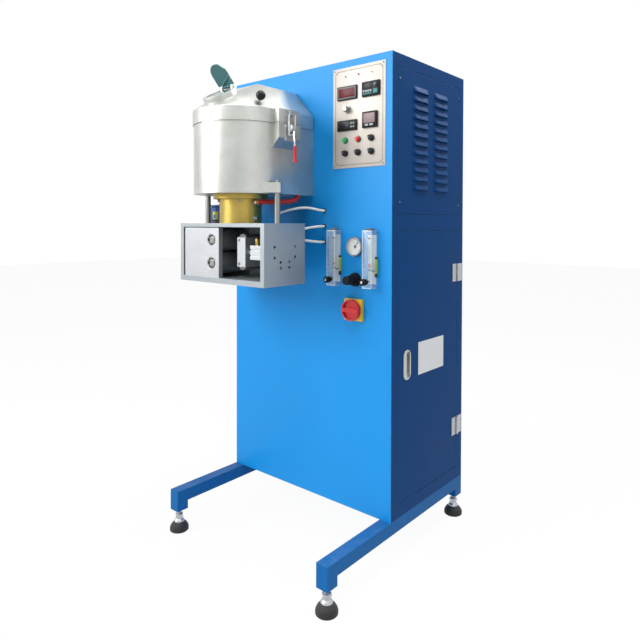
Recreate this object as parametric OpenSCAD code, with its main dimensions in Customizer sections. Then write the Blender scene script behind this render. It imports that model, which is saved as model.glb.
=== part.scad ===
// Vertical continuous casting machine: melting head, strand roller box, sheet cabinet.
// Frame: X to the right along the control face, Y from the face to the back, Z up,
// origin on the floor under the middle of the machine. Millimetres.

/* [Cabinet] */
// Outside width of the cabinet along the control face
cab_w = 700; // [690:5:800]
// Outside depth of the cabinet
cab_d = 458; // [450:2:560]
// Height of the sheet body above the base rails
cab_h = 1427; // [1420:1:1600]
// Thickness of the body sheets
sheet_t = 2; // [1.5:0.5:3]
// Gap around the vent panel and the door
leaf_gap = 2; // [1:0.5:3]

/* [Base] */
// Width of a base rail
rail_w = 40; // [36:2:60]
// Height of a base rail
rail_h = 40; // [30:2:60]
// Wall of the rail tube
rail_wall = 3; // [2:0.5:5]
// Reach of the rails in front of the control face
rail_reach = 296; // [260:2:400]
// Length of a foot block under a rail end
block_l = 42; // [40:1:60]
// Height of a foot block
block_h = 28; // [20:1:50]
// Height of the foot blocks above the floor
foot_clear = 72; // [66:1:110]
// Diameter of a rubber foot
pad_d = 63; // [50:1:80]
// Height of a rubber foot
pad_h = 43; // [36:1:46]
// Diameter of a levelling stud
stud_d = 16; // [12:1:20]

/* [Vent panel and door] */
// Width of the vent panel
vent_w = 394; // [340:2:400]
// Height of the cross rail between the door and the vent panel
cross_rail = 55; // [40:1:80]
// Top edge of the body to the vent panel
vent_down = 40; // [30:1:80]
// Louvres in each of the two columns
louvre_n = 12; // [4:1:12]
// Width of a louvre
louvre_w = 96; // [60:1:110]
// Height of a louvre
louvre_h = 19; // [12:1:22]
// How far a louvre stands out
louvre_out = 9; // [5:1:14]
// Spacing of the louvres
louvre_pitch = 28; // [25:1:30]
// Spacing of the two louvre columns
column_pitch = 129.5; // [120:0.5:160]
// Width of the door
door_w = 385; // [340:1:390]
// Height of the door
door_h = 841; // [700:1:850]
// Bottom edge of the body to the door
door_up = 44; // [30:1:80]
// Control face to the door's front edge
door_in = 30; // [24:1:36]

/* [Control panel] */
// Width of the control panel
panel_w = 204; // [196:1:230]
// Height of the control panel
panel_h = 319; // [310:1:360]
// Edge of the face to the panel, at the side and at the top
panel_edge = 23; // [12:1:40]
// Thickness of the control panel
panel_t = 2; // [1.5:0.5:4]
// Spacing of the operator columns
op_pitch = 51; // [44:0.5:56]
// Outside diameter of a button or switch bezel
bezel_d = 21; // [18:0.5:24]
// Diameter of a push button
button_d = 13; // [9:0.5:14]

/* [Gas, air and power fittings] */
// Width of a flowmeter block
flow_w = 35; // [28:1:40]
// Depth of a flowmeter block
flow_d = 33; // [26:1:40]
// Height of a flowmeter block
flow_h = 178; // [160:1:200]
// Diameter of the gauge bezel
gauge_d = 60; // [52:1:70]
// Diameter of the pressure regulator's ring
regulator_d = 44; // [40:1:52]
// Side of the isolator's square plate
isolator_w = 68; // [64:1:76]
// Diameter of the isolator handle
isolator_d = 66; // [50:1:66]
// Outside diameter of an air hose
air_d = 8; // [6:0.5:8.5]
// Outside diameter of the cooling water hose
water_d = 16; // [12:0.5:16.5]

/* [Melting head] */
// Left edge of the cabinet to the casting axis
head_x = 235; // [232:1:245]
// Control face to the casting axis
head_y = 187.5; // [186:0.5:192]
// Outside radius of the head casing
head_r = 150; // [146:1:152]
// Wall of the casing and the lid
head_wall = 3; // [2:0.5:4]
// Top of the base to the underside of the casing
head_up = 1001; // [996:1:1010]
// Height of the casing
head_h = 219; // [216:1:230]
// Height of the lid's straight band
band_h = 45; // [40:1:50]
// Height of the lid above its band
crown_h = 88.6; // [80:0.1:96]
// How far the lid's band stands out over the casing
band_out = 3.5; // [3:0.5:5]
// Width of the flat top of the lid
crown_w = 144; // [130:2:160]
// Depth of the flat top of the lid, measured from the control face
crown_d = 180; // [170:1:186]
// Outside radius of the sight port
sight_r = 55; // [50:1:58]
// Height of the sight port above the slope
sight_h = 17; // [14:1:20]
// Length of the sight mirror
mirror_l = 80; // [70:1:84]
// Width of the sight mirror
mirror_w = 72; // [64:1:80]
// Angle that the sight mirror is lifted above level
mirror_lift = 48; // [30:1:60]
// Outside radius of the crucible
crucible_r = 62; // [50:1:64]
// Diameter of the cast strand
strand_d = 12; // [6:1:16]
// Outside radius of the brass cooler
cooler_r = 68; // [60:1:70]

/* [Roller box] */
// Outside width of the roller box
box_w = 405; // [400:1:410]
// Outside depth of the roller box
box_d = 178; // [176:1:182]
// Outside height of the roller box
box_h = 190.6; // [190:0.2:194]
// Gap from the casing down to the roller box
box_drop = 92.4; // [88:0.2:100]
// Thickness of the side walls
side_t = 16; // [14:0.5:17]
// Thickness of the box floor
floor_t = 16.6; // [14:0.2:17]
// Thickness of the box top
top_t = 12; // [10:0.5:12.5]
// Radius of a drive roller
drive_r = 36.5; // [34:0.5:36.5]
// Vertical spacing of the two roller pairs
roller_pitch = 74; // [74:0.5:76]
// Radius of a pinch roller
pinch_r = 20; // [16:0.5:20]
// Gap between the strand and the open pinch rollers
pinch_open = 29; // [28:0.5:30]
// Diameter of a tie rod
rod_d = 18; // [14:0.5:20]
// Spacing of the tie rods
rod_span = 337; // [336:1:338]

/* [Hidden] */
$fn = 48;
fine_fn = 64;
e = 0.5;            // overrun of a cut past the face it opens
fit = 0.1;          // radial running fit of a pin or shaft
play = 0.3;         // gap between neighbouring pieces
slack = 0.6;        // wider gap beside a moving edge

// heights
base_z = foot_clear + block_h + rail_h;
top_z = base_z + cab_h;
head_z = base_z + head_up;
seam_z = head_z + head_h;
band_z = seam_z + band_h;
crown_z = band_z + crown_h;
box_z1 = head_z - box_drop;
box_z0 = box_z1 - box_h;

// plan
lid_r = head_r + band_out;
box_x0 = head_x - box_w / 2;
box_x1 = head_x + box_w / 2;
box_y0 = -head_y - box_d / 2;
box_y1 = -head_y + box_d / 2;
inlet_l = 24;
row_mid_y = (cab_d + inlet_l - head_y - lid_r) / 2;

// feet
washer_r = 17; washer_t = 3; nut_w = 24; nut_h = 15; pad_seat = 18; pad_rim = 12;
foot_in = block_l / 2;

// cabinet details
lap = 12; flange_t = 2; return_d = 18; 
door_y0 = door_in; door_y1 = door_in + door_w;
door_z0 = base_z + door_up; door_z1 = door_z0 + door_h;
vent_y0 = (cab_d - vent_w) / 2; vent_y1 = vent_y0 + vent_w;
vent_z1 = top_z - vent_down; vent_z0 = door_z1 + cross_rail; vent_h = vent_z1 - vent_z0;
louvre_edge = 40;
louvre_rows = min(louvre_n, floor((vent_h - 2 * louvre_edge) / louvre_pitch));
louvre_t = 1.2; louvre_lip = 5; louvre_taper = 9; louvre_up = 17;
louvre_z0 = (vent_z0 + vent_z1) / 2 - ((louvre_rows - 1) * louvre_pitch + louvre_h) / 2 + louvre_up;
screw_r = 4; screw_h = 2.2; screw_shank_r = 2; screw_in = 8; vent_screw_z = 35; panel_screw = 7;

// door hinge and furniture
hinge_r = 4; hinge_h = 62; leaf_w = 30; leaf_t = 2; hinge_pin_r = 2.2;
hinge_end_share = 0.176;
hinge_x = cab_w + hinge_r + play; hinge_y = door_y1 + leaf_gap / 2;
hinge_zs = [door_z0 + door_h * hinge_end_share, door_z1 - door_h * hinge_end_share];
pull_w = 41; pull_h = 94; pull_rim = 4; pull_deep = 12; pull_skin = 1.5; pull_proud = 2.4;
pull_in = 57.5; pull_share = 0.503; pull_lip = 11;
pull_y = door_y0 + pull_in; pull_z = door_z0 + door_h * pull_share;
plate_w = 163; plate_h = 105; plate_t = 1; plate_y_share = 0.539; plate_z_share = 0.512;
plate_y = door_y0 + door_w * plate_y_share; plate_z = door_z0 + door_h * plate_z_share;

// control panel places, measured from the panel's centre line and top edge
panel_x1 = cab_w - panel_edge; panel_x0 = panel_x1 - panel_w;
panel_z1 = top_z - panel_edge; panel_z0 = panel_z1 - panel_h;
panel_cx = (panel_x0 + panel_x1) / 2;
panel_rim = 20;
lamp_z = panel_z1 - 28.5;
meter = [panel_cx - 43.2, panel_z1 - 81.4, 79, 44, 5, 74, 38, 55];
keypad = [panel_cx + 49.7, panel_z1 - 80.5, 67, 46, 7, 62, 41, 40];
left_box = [panel_cx - 43, panel_z1 - 184.5, 78, 34, 6, 71, 28, 60];
right_box = [panel_cx + 46.7, panel_z1 - 175, 55, 50, 9, 45, 45, 70];
pot_x = panel_cx - 44; pot_z = panel_z1 - 133;
button_z = panel_z1 - 231; select_z = panel_z1 - 272.3;
key_x = keypad[0] + 22; key_z = keypad[1] + 9.6; key_r = 5.5; key_l = 8; key_shaft_r = 2.5;
bezel_t = 3; barrel_r = 8; barrel_l = 26; actuator_l = 14; button_out = 11; button_in = 8;
button_rim = 1.5; 
knob_r = 8.8; knob_t = 3; bar_w = 5.5; bar_l = 17; bar_t = 9; knob_shaft_r = 6;
skirt_r = 13; skirt_t = 3; pot_r = 10; pot_l = 15; pot_shaft_r = 3; pot_body_r = 12; pot_body_l = 12;
lamp_r = 5.5; lamp_rim = 1.5; lens_r = 4; lens_h = 3; lamp_barrel_r = 3.8; lamp_l = 14;

// gas and power places on the face
flow_in = 210.5; flow_gap = 141.5; flow_up = 710;
flow_x = [cab_w - flow_in, cab_w - flow_in + flow_gap]; flow_z = base_z + flow_up;
valve_up = 21; tube_r = 5; tube_low = 66; tube_top = 22; float_r = 4.7; float_h = 9; valve_bore_r = 4.5;
valve_bore_l = 14; cap_r = 13; cap_t = 6; bonnet_r = 7; bonnet_t = 5; valve_r = 10.5; valve_l = 22;
valve_stem_r = 3; stem_in = 4; strip_w = 13; strip_h = 62; strip_up = 34; strip_t = 0.5;
face_in = 135; gauge_up = 836; reg_up = 732;
face_x = cab_w - face_in;
gauge_z = base_z + gauge_up; gauge_out = 12; gauge_can_r = 25; gauge_can_l = 26; gauge_lip = 4;
gauge_well = 9; needle_w = 2; needle_t = 1; needle_l = 19; needle_tail = 7; hub_r = 3.5; hub_pin_r = 1.2;
needle_deg = 40; needle_gap = 1;
reg_z = base_z + reg_up; reg_ring_t = 5; bonnet2_r = 18; bonnet2_l = 13; reg_body_r = 19; reg_body_l = 42;
reg_knob_r = 14.5; reg_knob_l = 36; reg_stem_r = 5; reg_stem_in = 8;
iso_in = 137.5; iso_up = 637; iso_x = cab_w - iso_in; iso_z = base_z + iso_up; iso_t = 11; iso_collar_r = 28; iso_collar_t = 3; iso_disc_t = 6;
iso_rim_t = 8; iso_rim_w = 4; iso_bar_w = 13; iso_bar_t = 10; iso_stem_r = 6; iso_stem_in = 8;
iso_body_r = 22; iso_body_l = 40;
hose_in = 2.5; hose_up = 848; hose_x = box_x1 - hose_in; hose_z0 = base_z + hose_up; hose_dz = 51.6; grommet_r = 8; grommet_t = 3; neck_r = 6;

// melting head details
floor_plate = 6; seam_gap = 0.4; lid_back = 2; core_r = 138; core_h = 203; core_floor = 18;
pocket_r = crucible_r + 4; crucible_h = 170; crucible_wall = 14; crucible_floor = 20;
die_r = 24; die_low = 14; lead_r = 6; lead_dx = 30; lead_z = [head_z + 99, head_z + 149];
lead_in = 60; lead_hole_r = 8;
lug_half = 47; lug_r = 15; lug_z0 = head_z + 2; lug_h = 31; lug_sink = 14;
rod_screw_r = 4; rod_head_r = 6.5; rod_head_h = 8.5;
flange_r = 88; flange_h = 14; cool_screw_r = 5; cool_screw_l = 6; cool_shank_r = 3; cool_shank_l = 10;
cool_screw_z = head_z - 19.6; port_z = head_z - 24.5; low_port_z = head_z - 76;
port_shank_r = 6; port_shank_l = 8; port_hex_r = 9; port_hex_l = 7; port_end_l = 4;
latch_y0 = -head_y - 4.5; latch_y1 = latch_y0 + 97; latch_x = head_x + head_r + 29;
latch_low = head_z + 143; latch_step = 29; catch_h = 16; catch_t = 3; catch_out = 9; catch_up = 8;
catch_w = 18;
clamp_y = -head_y + 41.5; clamp_w = 44; clamp_z0 = seam_z - 56; clamp_h = 50; clamp_plate_t = 2.5;
cheek_t = 3; cheek_gap = 14; cheek_out = 23; pivot_x = latch_x + 16; pivot_z = seam_z - 18;
pivot_r = 3; cheek_h = 26; link_dx = 4; link_dz = 18; link_r = 2.5; handle_l = 105;
grip_l = 51; grip_r = 5.5; rod_wire_r = 2.5; hook_l = 61; hook_half = 13.5; arm_out = 8; arm_r = 4;
arm_w = 8; grip_rim = 2; 
lid_axis_x = head_x - lid_r - 5.5 - slack; lid_axis_z = seam_z - seam_gap / 2;
lid_pin_r = 3; lid_knuckle_r = 5.5; lid_knuckle_l = 24; lid_leaf_h = 32; lid_leaf_t = 3;
lid_hinge_ys = [-head_y + 12, -56];
slope_run = head_y + lid_r - crown_d;
slope_deg = atan(crown_h / slope_run);
sight_s = 103; window_r = 36; glass_r = 42; glass_t = 5; glass_deep = 7; sight_wall_sink = 14;
mirror_s = 61.6; mirror_t = 3; knuckle_r = 4; knuckle_l = 40; ear_l = 9; mirror_pin_r = 2;
mirror_start = 5.5; mirror_h = sight_h + knuckle_r + slack;
ball_r = 15; ball_up = 297.5; ball_at = [376, -232, ball_up]; stem_r = 5; stem_l = 9; ball_az = -17.7; ball_tilt = 45;
stem_flange_r = 9; stem_flange_t = 5; ball_sink = 8;

// roller box details
back_t = 6; strand_hole_r = 15; block_x0 = box_x0 + 22.5; block_in = 2; block_gap = 2.6;
front_t = 16; case_t = 36; drive_x = head_x - strand_d / 2 - drive_r;
block_x1 = head_x - strand_d / 2 - play;
roller_mid_z = (box_z0 + floor_t + box_z1 - top_t) / 2 + 2.5;
upper_z = roller_mid_z + roller_pitch / 2; lower_z = roller_mid_z - roller_pitch / 2;
shaft_r = 10; pocket2_r = 20; pocket_deep = 8; collar_r = 14; collar_t = 3; shaft_end = 3;
shaft_back = 28; roller_gap = 0.5;
front_y0 = box_y0 + block_in; front_y1 = front_y0 + front_t;
case_y1 = box_y1 - back_t; case_y0 = case_y1 - case_t;
pinch_x = head_x + strand_d / 2 + pinch_open + pinch_r;
fork_x0 = pinch_x - 9; fork_x1 = pinch_x + 28; fork_half = 55; cheek2_t = 14; fork_h = 92;
fork_back = 7; axle_r = 5; guide_r = 6; piston_r = 8; guide_dy = 35; pinch_back = 22;
cyl_x0 = fork_x1 + 22; cyl_x1 = box_x1 - side_t; cyl_h = 44; valve_x0 = cyl_x0 + 32; valve_h = 19;
valve_half = 22; guide_l = cyl_x1 - fork_x1 - pinch_back; slot_w = 5; slot_d = 3;
side_holes = [[45, 19], [-45, 19], [45, -13], [-45, -13], [19, -28], [-19, -28], [19, -45], [-19, -45]];
side_hole_r = 4.8; side_hole_deep = 8; side_head_r = 4.2; side_head_l = 6;
motor_w = 60; motor_h = 64; motor_x = box_x0 + 38; motor_y = case_y0 + 8; motor_shaft_r = 5;
plug_r = 8; plug_h = 12; motor_shaft_l = 30; motor_hole_r = 6.5;
push_r = 6; push_l = 12; push_shank_r = 4; push_shank_l = 5;
top_push = [345, -125]; rear_push_x = 392; rear_push_z = [box_z1 - 20.6, box_z1 - 51.6];

// hose routes, each a list of points, and the rings that sweep them
air_top = [[345, -125, 1060.6], [345, -125, 1072], [347, -120, 1081], [354, -104, 1088],
  [368, -76, 1096], [386, -48, 1100], [406, -28, 1098], [424, -16, 1093], [435, -9, 1091.2],
  [435, 8, 1091.2], [435, 22, 1091.2]];
air_mid = [[392, -86.5, 1028], [392, -76, 1028], [396, -64, 1030], [406, -48, 1034],
  [418, -34, 1037], [429, -21, 1039], [435, -9, 1039.6], [435, 8, 1039.6], [435, 22, 1039.6]];
air_low = [[392, -86.5, 997], [392, -76, 997], [396, -64, 995], [406, -48, 992],
  [418, -34, 990], [429, -21, 988.4], [435, -9, 988], [435, 8, 988], [435, 22, 988]];
water_run = [[315, -187.5, 1116.5], [324, -187.5, 1116.5], [334, -182, 1116.6], [343, -170, 1117],
  [351, -153, 1117.4], [360, -132, 1118.2], [367, -112, 1119.4], [371, -92, 1121.5],
  [372, -77, 1126], [372, -67, 1131], [372, -62, 1137], [372, -62, 1150], [372, -62, 1160]];
water_end = len(water_run) - 1;
hose_room = 1;
hose_sides = 10;

// ---- shared shapes ----
module slab(x0, y0, z0, x1, y1, z1)
  translate([x0, y0, z0]) cube([x1 - x0, y1 - y0, z1 - z0]);
// cylinder pointing out of the control face
module out_y(x, y, z, r, l) translate([x, y, z]) rotate([90, 0, 0]) cylinder(r = r, h = l);
module along_x(x, y, z, r, l) translate([x, y, z]) rotate([0, 90, 0]) cylinder(r = r, h = l);
module up_z(x, y, z, r, l) translate([x, y, z]) cylinder(r = r, h = l);
module hexagon(w, h) cylinder(r = w / 2 / cos(30), h = h, $fn = 6);
// flat outline in Y and Z, given thickness toward +X
module on_side(x) translate([x, 0, 0]) rotate([90, 0, 90]) children();
// flat outline in X and Z, thickness toward -Y
module on_face(y) translate([0, y, 0]) rotate([90, 0, 0]) children();
module stadium(w, h) {
  square([w, h - w], center = true);
  for (s = [-1, 1]) translate([0, s * (h - w) / 2]) circle(d = w);
}
// plan of the head: half round in front, straight sides back to y_back
module head_plan(r, y_back) {
  translate([head_x, -head_y]) circle(r = r, $fn = fine_fn);
  translate([head_x - r, -head_y]) square([2 * r, head_y - y_back]);
}
module place() translate([-cab_w / 2, -row_mid_y, 0]) children();
// frame that lies on the lid's front slope: x across, y down the slope, z off the slope
module on_slope() translate([head_x, -crown_d, crown_z]) rotate([slope_deg, 0, 0])
  mirror([0, 1, 0]) children();

// ---- swept hose ----
function unit(v) = v / norm(v);
function tangent(p, i) = i == 0 ? unit(p[1] - p[0]) :
  i == len(p) - 1 ? unit(p[i] - p[i - 1]) : unit(unit(p[i + 1] - p[i]) + unit(p[i] - p[i - 1]));
function side_of(t, n) = unit(n - t * (n * t));
function frames(p, i, n) = i == len(p) ? [] :
  let (t = tangent(p, i), m = side_of(t, n)) concat([[p[i], m, cross(t, m)]], frames(p, i + 1, m));
module hose(p, r, n0) {
  f = frames(p, 0, n0);
  k = hose_sides;
  m = len(p);
  pts = [for (q = f) for (j = [0:k - 1]) q[0] + r * cos(360 * j / k) * q[1] + r * sin(360 * j / k) * q[2]];
  walls = [for (i = [0:m - 2]) for (j = [0:k - 1])
    [i * k + j, (i + 1) * k + j, (i + 1) * k + (j + 1) % k, i * k + (j + 1) % k]];
  caps = [[for (j = [0:k - 1]) j], [for (j = [0:k - 1]) (m - 1) * k + k - 1 - j]];
  polyhedron(points = pts, faces = concat(walls, caps), convexity = 6);
}

// ---- base ----
module rail(x) difference() {
  union() {
    slab(x, -rail_reach, base_z - rail_h, x + rail_w, cab_d, base_z);
    for (y = [-rail_reach, cab_d - block_l])
      slab(x, y, foot_clear, x + rail_w, y + block_l, foot_clear + block_h);
  }
  slab(x + rail_wall, -rail_reach + rail_wall, base_z - rail_h + rail_wall,
    x + rail_w - rail_wall, cab_d + e, base_z - rail_wall);
  for (y = [-rail_reach + foot_in, cab_d - foot_in])
    up_z(x + rail_w / 2, y, foot_clear - e, stud_d / 2 + fit, block_h + e);
}
module base_rails() color("#1f6fb8") place() {
  rail(0);
  rail(cab_w - rail_w);
}
module at_feet() for (x = [rail_w / 2, cab_w - rail_w / 2])
  for (y = [-rail_reach + foot_in, cab_d - foot_in]) translate([x, y, 0]) children();
module foot_studs() color("silver") place() at_feet() {
  up_z(0, 0, pad_seat, stud_d / 2, foot_clear + block_h - play - pad_seat);
  up_z(0, 0, pad_h, washer_r, washer_t);
  translate([0, 0, pad_h + washer_t]) hexagon(nut_w, nut_h);
}
module foot_pads() color("#26262a") place() at_feet() difference() {
  rotate_extrude() polygon([[0, 0], [pad_d / 2 - washer_t / 2, 0], [pad_d / 2, washer_t],
    [pad_d / 2, pad_rim], [washer_r, pad_h], [0, pad_h]]);
  up_z(0, 0, pad_seat, stud_d / 2 + fit, pad_h);
}

// ---- cabinet ----
module front_panel() color("#2b8fd8") place() difference() {
  slab(0, 0, base_z, cab_w, sheet_t, top_z);
  slab(panel_x0 + panel_rim, -e, panel_z0 + panel_rim, panel_x1 - panel_rim, sheet_t + e, panel_z1 - panel_rim);
  out_y(face_x, sheet_t + e, gauge_z, gauge_can_r + play, sheet_t + 2 * e);
  out_y(face_x, sheet_t + e, reg_z, reg_body_r + play, sheet_t + 2 * e);
  out_y(iso_x, sheet_t + e, iso_z, iso_body_r + play, sheet_t + 2 * e);
  for (i = [0:2]) out_y(hose_x, sheet_t + e, hose_z0 + i * hose_dz, neck_r + fit, sheet_t + 2 * e);
  for (s = [0, 1]) out_y(head_x + (2 * s - 1) * lead_dx, sheet_t + e, lead_z[s], lead_hole_r, sheet_t + 2 * e);
}
module back_wrap() color("#12569a") place() difference() {
  union() {
    slab(0, sheet_t, base_z, sheet_t, cab_d, top_z);
    slab(0, cab_d - sheet_t, base_z, cab_w, cab_d, top_z);
  }
  for (p = inlets) out_y(p[0], cab_d + e, p[1], p[3] + fit, sheet_t + 2 * e);
}
// frame behind an opening in the right side: y and z limits of the leaf that closes it
module leaf_cut(y0, z0, y1, z1, g, x0, x1) slab(x0, y0 - g, z0 - g, x1, y1 + g, z1 + g);
module side_frame() color("#0f4f8c") place() {
  for (q = [[vent_y0, vent_z0, vent_y1, vent_z1], [door_y0, door_z0, door_y1, door_z1]])
    difference() {
      leaf_cut(q[0], q[1], q[2], q[3], lap, cab_w - sheet_t - flange_t, cab_w - sheet_t);
      leaf_cut(q[0], q[1], q[2], q[3], -lap, cab_w - sheet_t - flange_t - e, cab_w - sheet_t + e);
    }
  difference() {
    slab(cab_w - sheet_t, sheet_t, base_z, cab_w, cab_d - sheet_t, top_z);
    leaf_cut(vent_y0, vent_z0, vent_y1, vent_z1, leaf_gap, cab_w - sheet_t - e, cab_w + e);
    leaf_cut(door_y0, door_z0, door_y1, door_z1, leaf_gap, cab_w - sheet_t - e, cab_w + e);
  }
}
module deck_panels() color("#2b8fd8") place() for (z = [base_z, top_z - sheet_t])
  slab(sheet_t, sheet_t, z, cab_w - sheet_t, cab_d - sheet_t, z + sheet_t);

module scoop(d, h, lip, w, taper) intersection() {
  translate([cab_w, -w / 2, 0]) rotate([90, 0, 180]) mirror([1, 0, 0]) linear_extrude(w)
    polygon([[-sheet_t, 0], [d, 0], [d, lip], [0, h], [-sheet_t, h]]);
  translate([cab_w, 0, -e]) linear_extrude(h + 2 * e)
    polygon([[-sheet_t, -w / 2], [0, -w / 2], [d, -w / 2 + taper], [d, w / 2 - taper], [0, w / 2],
      [-sheet_t, w / 2]]);
}
module at_louvres() for (c = [-1, 1]) for (i = [0:louvre_rows - 1])
  translate([0, cab_d / 2 + c * column_pitch / 2, louvre_z0 + i * louvre_pitch]) children();
module vent_panel() color("#0f4f8c") place() difference() {
  union() {
    slab(cab_w - sheet_t, vent_y0, vent_z0, cab_w, vent_y1, vent_z1);
    at_louvres() scoop(louvre_out, louvre_h, louvre_lip, louvre_w, louvre_taper);
  }
  at_louvres() translate([-louvre_t, 0, -louvre_t])
    scoop(louvre_out, louvre_h - louvre_t, louvre_lip, louvre_w - 4 * louvre_t, louvre_taper);
  for (y = [vent_y0 + screw_in, vent_y1 - screw_in]) for (z = [vent_z0 + vent_screw_z, vent_z1 - vent_screw_z])
    along_x(cab_w - sheet_t - e, y, z, screw_shank_r + fit, sheet_t + 2 * e);
}
module face_screws() color("#c9ccd0") place() {
  for (y = [vent_y0 + screw_in, vent_y1 - screw_in]) for (z = [vent_z0 + vent_screw_z, vent_z1 - vent_screw_z]) {
    along_x(cab_w, y, z, screw_r, screw_h);
    along_x(cab_w - sheet_t, y, z, screw_shank_r, sheet_t);
  }
  for (x = [panel_x0 + panel_screw, panel_x1 - panel_screw])
    for (z = [panel_z0 + panel_screw, panel_z1 - panel_screw]) out_y(x, -panel_t, z, screw_r - 1, screw_h / 2);
  for (p = side_holes) translate([box_x1 - side_hole_deep, -head_y + p[0], roller_mid_z + p[1]])
    rotate([0, 90, 0]) difference() {
      cylinder(r = side_head_r, h = side_head_l);
      translate([0, 0, side_head_l / 2]) hexagon(side_head_r, side_head_l);
    }
}

// the power unit on the cabinet floor and its two copper risers to the coil
gen_in = 60; gen_back = 58; gen_right = 300; gen_wall = 3; gen_up = 700;
gen_front = 90;
gen_top = base_z + gen_up;
module generator() color("#b9bdc2") place() difference() {
  union() {
    slab(gen_in, gen_front, base_z + sheet_t, cab_w - gen_right, cab_d - gen_back, gen_top);
    for (s = [0, 1]) {
      x = head_x + (2 * s - 1) * lead_dx;
      up_z(x, gen_front + lead_r * 3, gen_top, lead_r, lead_z[s] - gen_top);
      slab(x - lead_hole_r, lead_in, lead_z[s] - lead_hole_r, x + lead_hole_r,
        gen_front + lead_r * 4, lead_z[s] + lead_hole_r);
    }
  }
  slab(gen_in + gen_wall, gen_front + gen_wall, base_z, cab_w - gen_right - gen_wall,
    cab_d - gen_back - gen_wall, gen_top - gen_wall);
}

// rear inlets: x, z, nose radius, shank radius, nose length
inlet_up = 130;
inlet_z = base_z + inlet_up;
inlet_share = [0.171, 0.271, 0.714, 0.857];
water_r = 7; gas_r = 5; gland_r = 13; thread_share = 0.86;
inlets = [[cab_w * inlet_share[0], inlet_z, water_r, water_r * thread_share, inlet_l],
  [cab_w * inlet_share[1], inlet_z, water_r, water_r * thread_share, inlet_l],
  [cab_w * inlet_share[2], inlet_z, gas_r, gas_r * thread_share, inlet_l],
  [cab_w * inlet_share[3], inlet_z, gland_r, gland_r * thread_share, inlet_l]];

// ---- door ----
module side_door() color("#0f4f8c") place() difference() {
  union() {
    slab(cab_w - sheet_t, door_y0, door_z0, cab_w, door_y1, door_z1);
    difference() {
      leaf_cut(door_y0, door_z0, door_y1, door_z1, -lap - leaf_gap, cab_w - sheet_t - return_d, cab_w - sheet_t);
      leaf_cut(door_y0, door_z0, door_y1, door_z1, -lap - leaf_gap - sheet_t,
        cab_w - sheet_t - return_d - e, cab_w - sheet_t);
    }
  }
  on_side(cab_w - sheet_t - e) translate([pull_y, pull_z]) linear_extrude(sheet_t + 2 * e)
    stadium(pull_w - 2 * pull_rim + 2 * play, pull_h - 2 * pull_rim + 2 * play);
}
module door_pull() color("#d5d8dc") place() difference() {
  union() {
    on_side(cab_w) translate([pull_y, pull_z]) linear_extrude(pull_proud) stadium(pull_w, pull_h);
    on_side(cab_w - pull_deep) translate([pull_y, pull_z]) linear_extrude(pull_deep)
      stadium(pull_w - 2 * pull_rim, pull_h - 2 * pull_rim);
  }
  on_side(cab_w - pull_deep + pull_skin) translate([pull_y, pull_z]) linear_extrude(pull_deep)
    stadium(pull_w - 2 * pull_rim - 2 * pull_skin, pull_h - 2 * pull_rim - 2 * pull_skin);
  on_side(cab_w - pull_skin) translate([pull_y + pull_lip / 2, pull_z]) linear_extrude(pull_deep)
    stadium(pull_w - 2 * pull_rim - 2 * pull_skin - pull_lip, pull_h - 2 * pull_rim - 2 * pull_skin);
}
module door_plate() color("#e8eaec") place()
  slab(cab_w, plate_y - plate_w / 2, plate_z - plate_h / 2, cab_w + plate_t, plate_y + plate_w / 2, plate_z + plate_h / 2);

knuckle_h = hinge_h / 3;
// one leaf: s is -1 toward the door and 1 toward the frame; ks its knuckle rows
module hinge_leaf(zc, s, ks) {
  translate([0, s > 0 ? hinge_y : 2 * hinge_y, 0]) mirror([0, s > 0 ? 0 : 1, 0])
    translate([0, s > 0 ? 0 : hinge_y, zc - hinge_h / 2]) {
      slab(cab_w, hinge_r + slack, 0, cab_w + leaf_t, hinge_r + leaf_w, hinge_h);
      for (k = ks) slab(cab_w, 0, k * knuckle_h + play / 2, cab_w + leaf_t, hinge_r + leaf_w / 2, (k + 1) * knuckle_h - play / 2);
      for (z = [hinge_h / 4, hinge_h * 3 / 4]) along_x(cab_w + leaf_t, hinge_r + leaf_w * 2 / 3, z, screw_r - 1, screw_h / 2);
    }
  for (k = ks) up_z(hinge_x, hinge_y, zc - hinge_h / 2 + k * knuckle_h + play / 2, hinge_r, knuckle_h - play);
}
module door_hinge_fixed() color("#c3c7cb") place() for (zc = hinge_zs) {
  hinge_leaf(zc, 1, [0, 2]);
  up_z(hinge_x, hinge_y, zc - hinge_h / 2 + play, hinge_pin_r, hinge_h - 2 * play);
}
module door_hinge_moving() color("#c3c7cb") place() for (zc = hinge_zs) difference() {
  hinge_leaf(zc, -1, [1]);
  up_z(hinge_x, hinge_y, zc - hinge_h, hinge_pin_r + fit, 2 * hinge_h);
}

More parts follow.
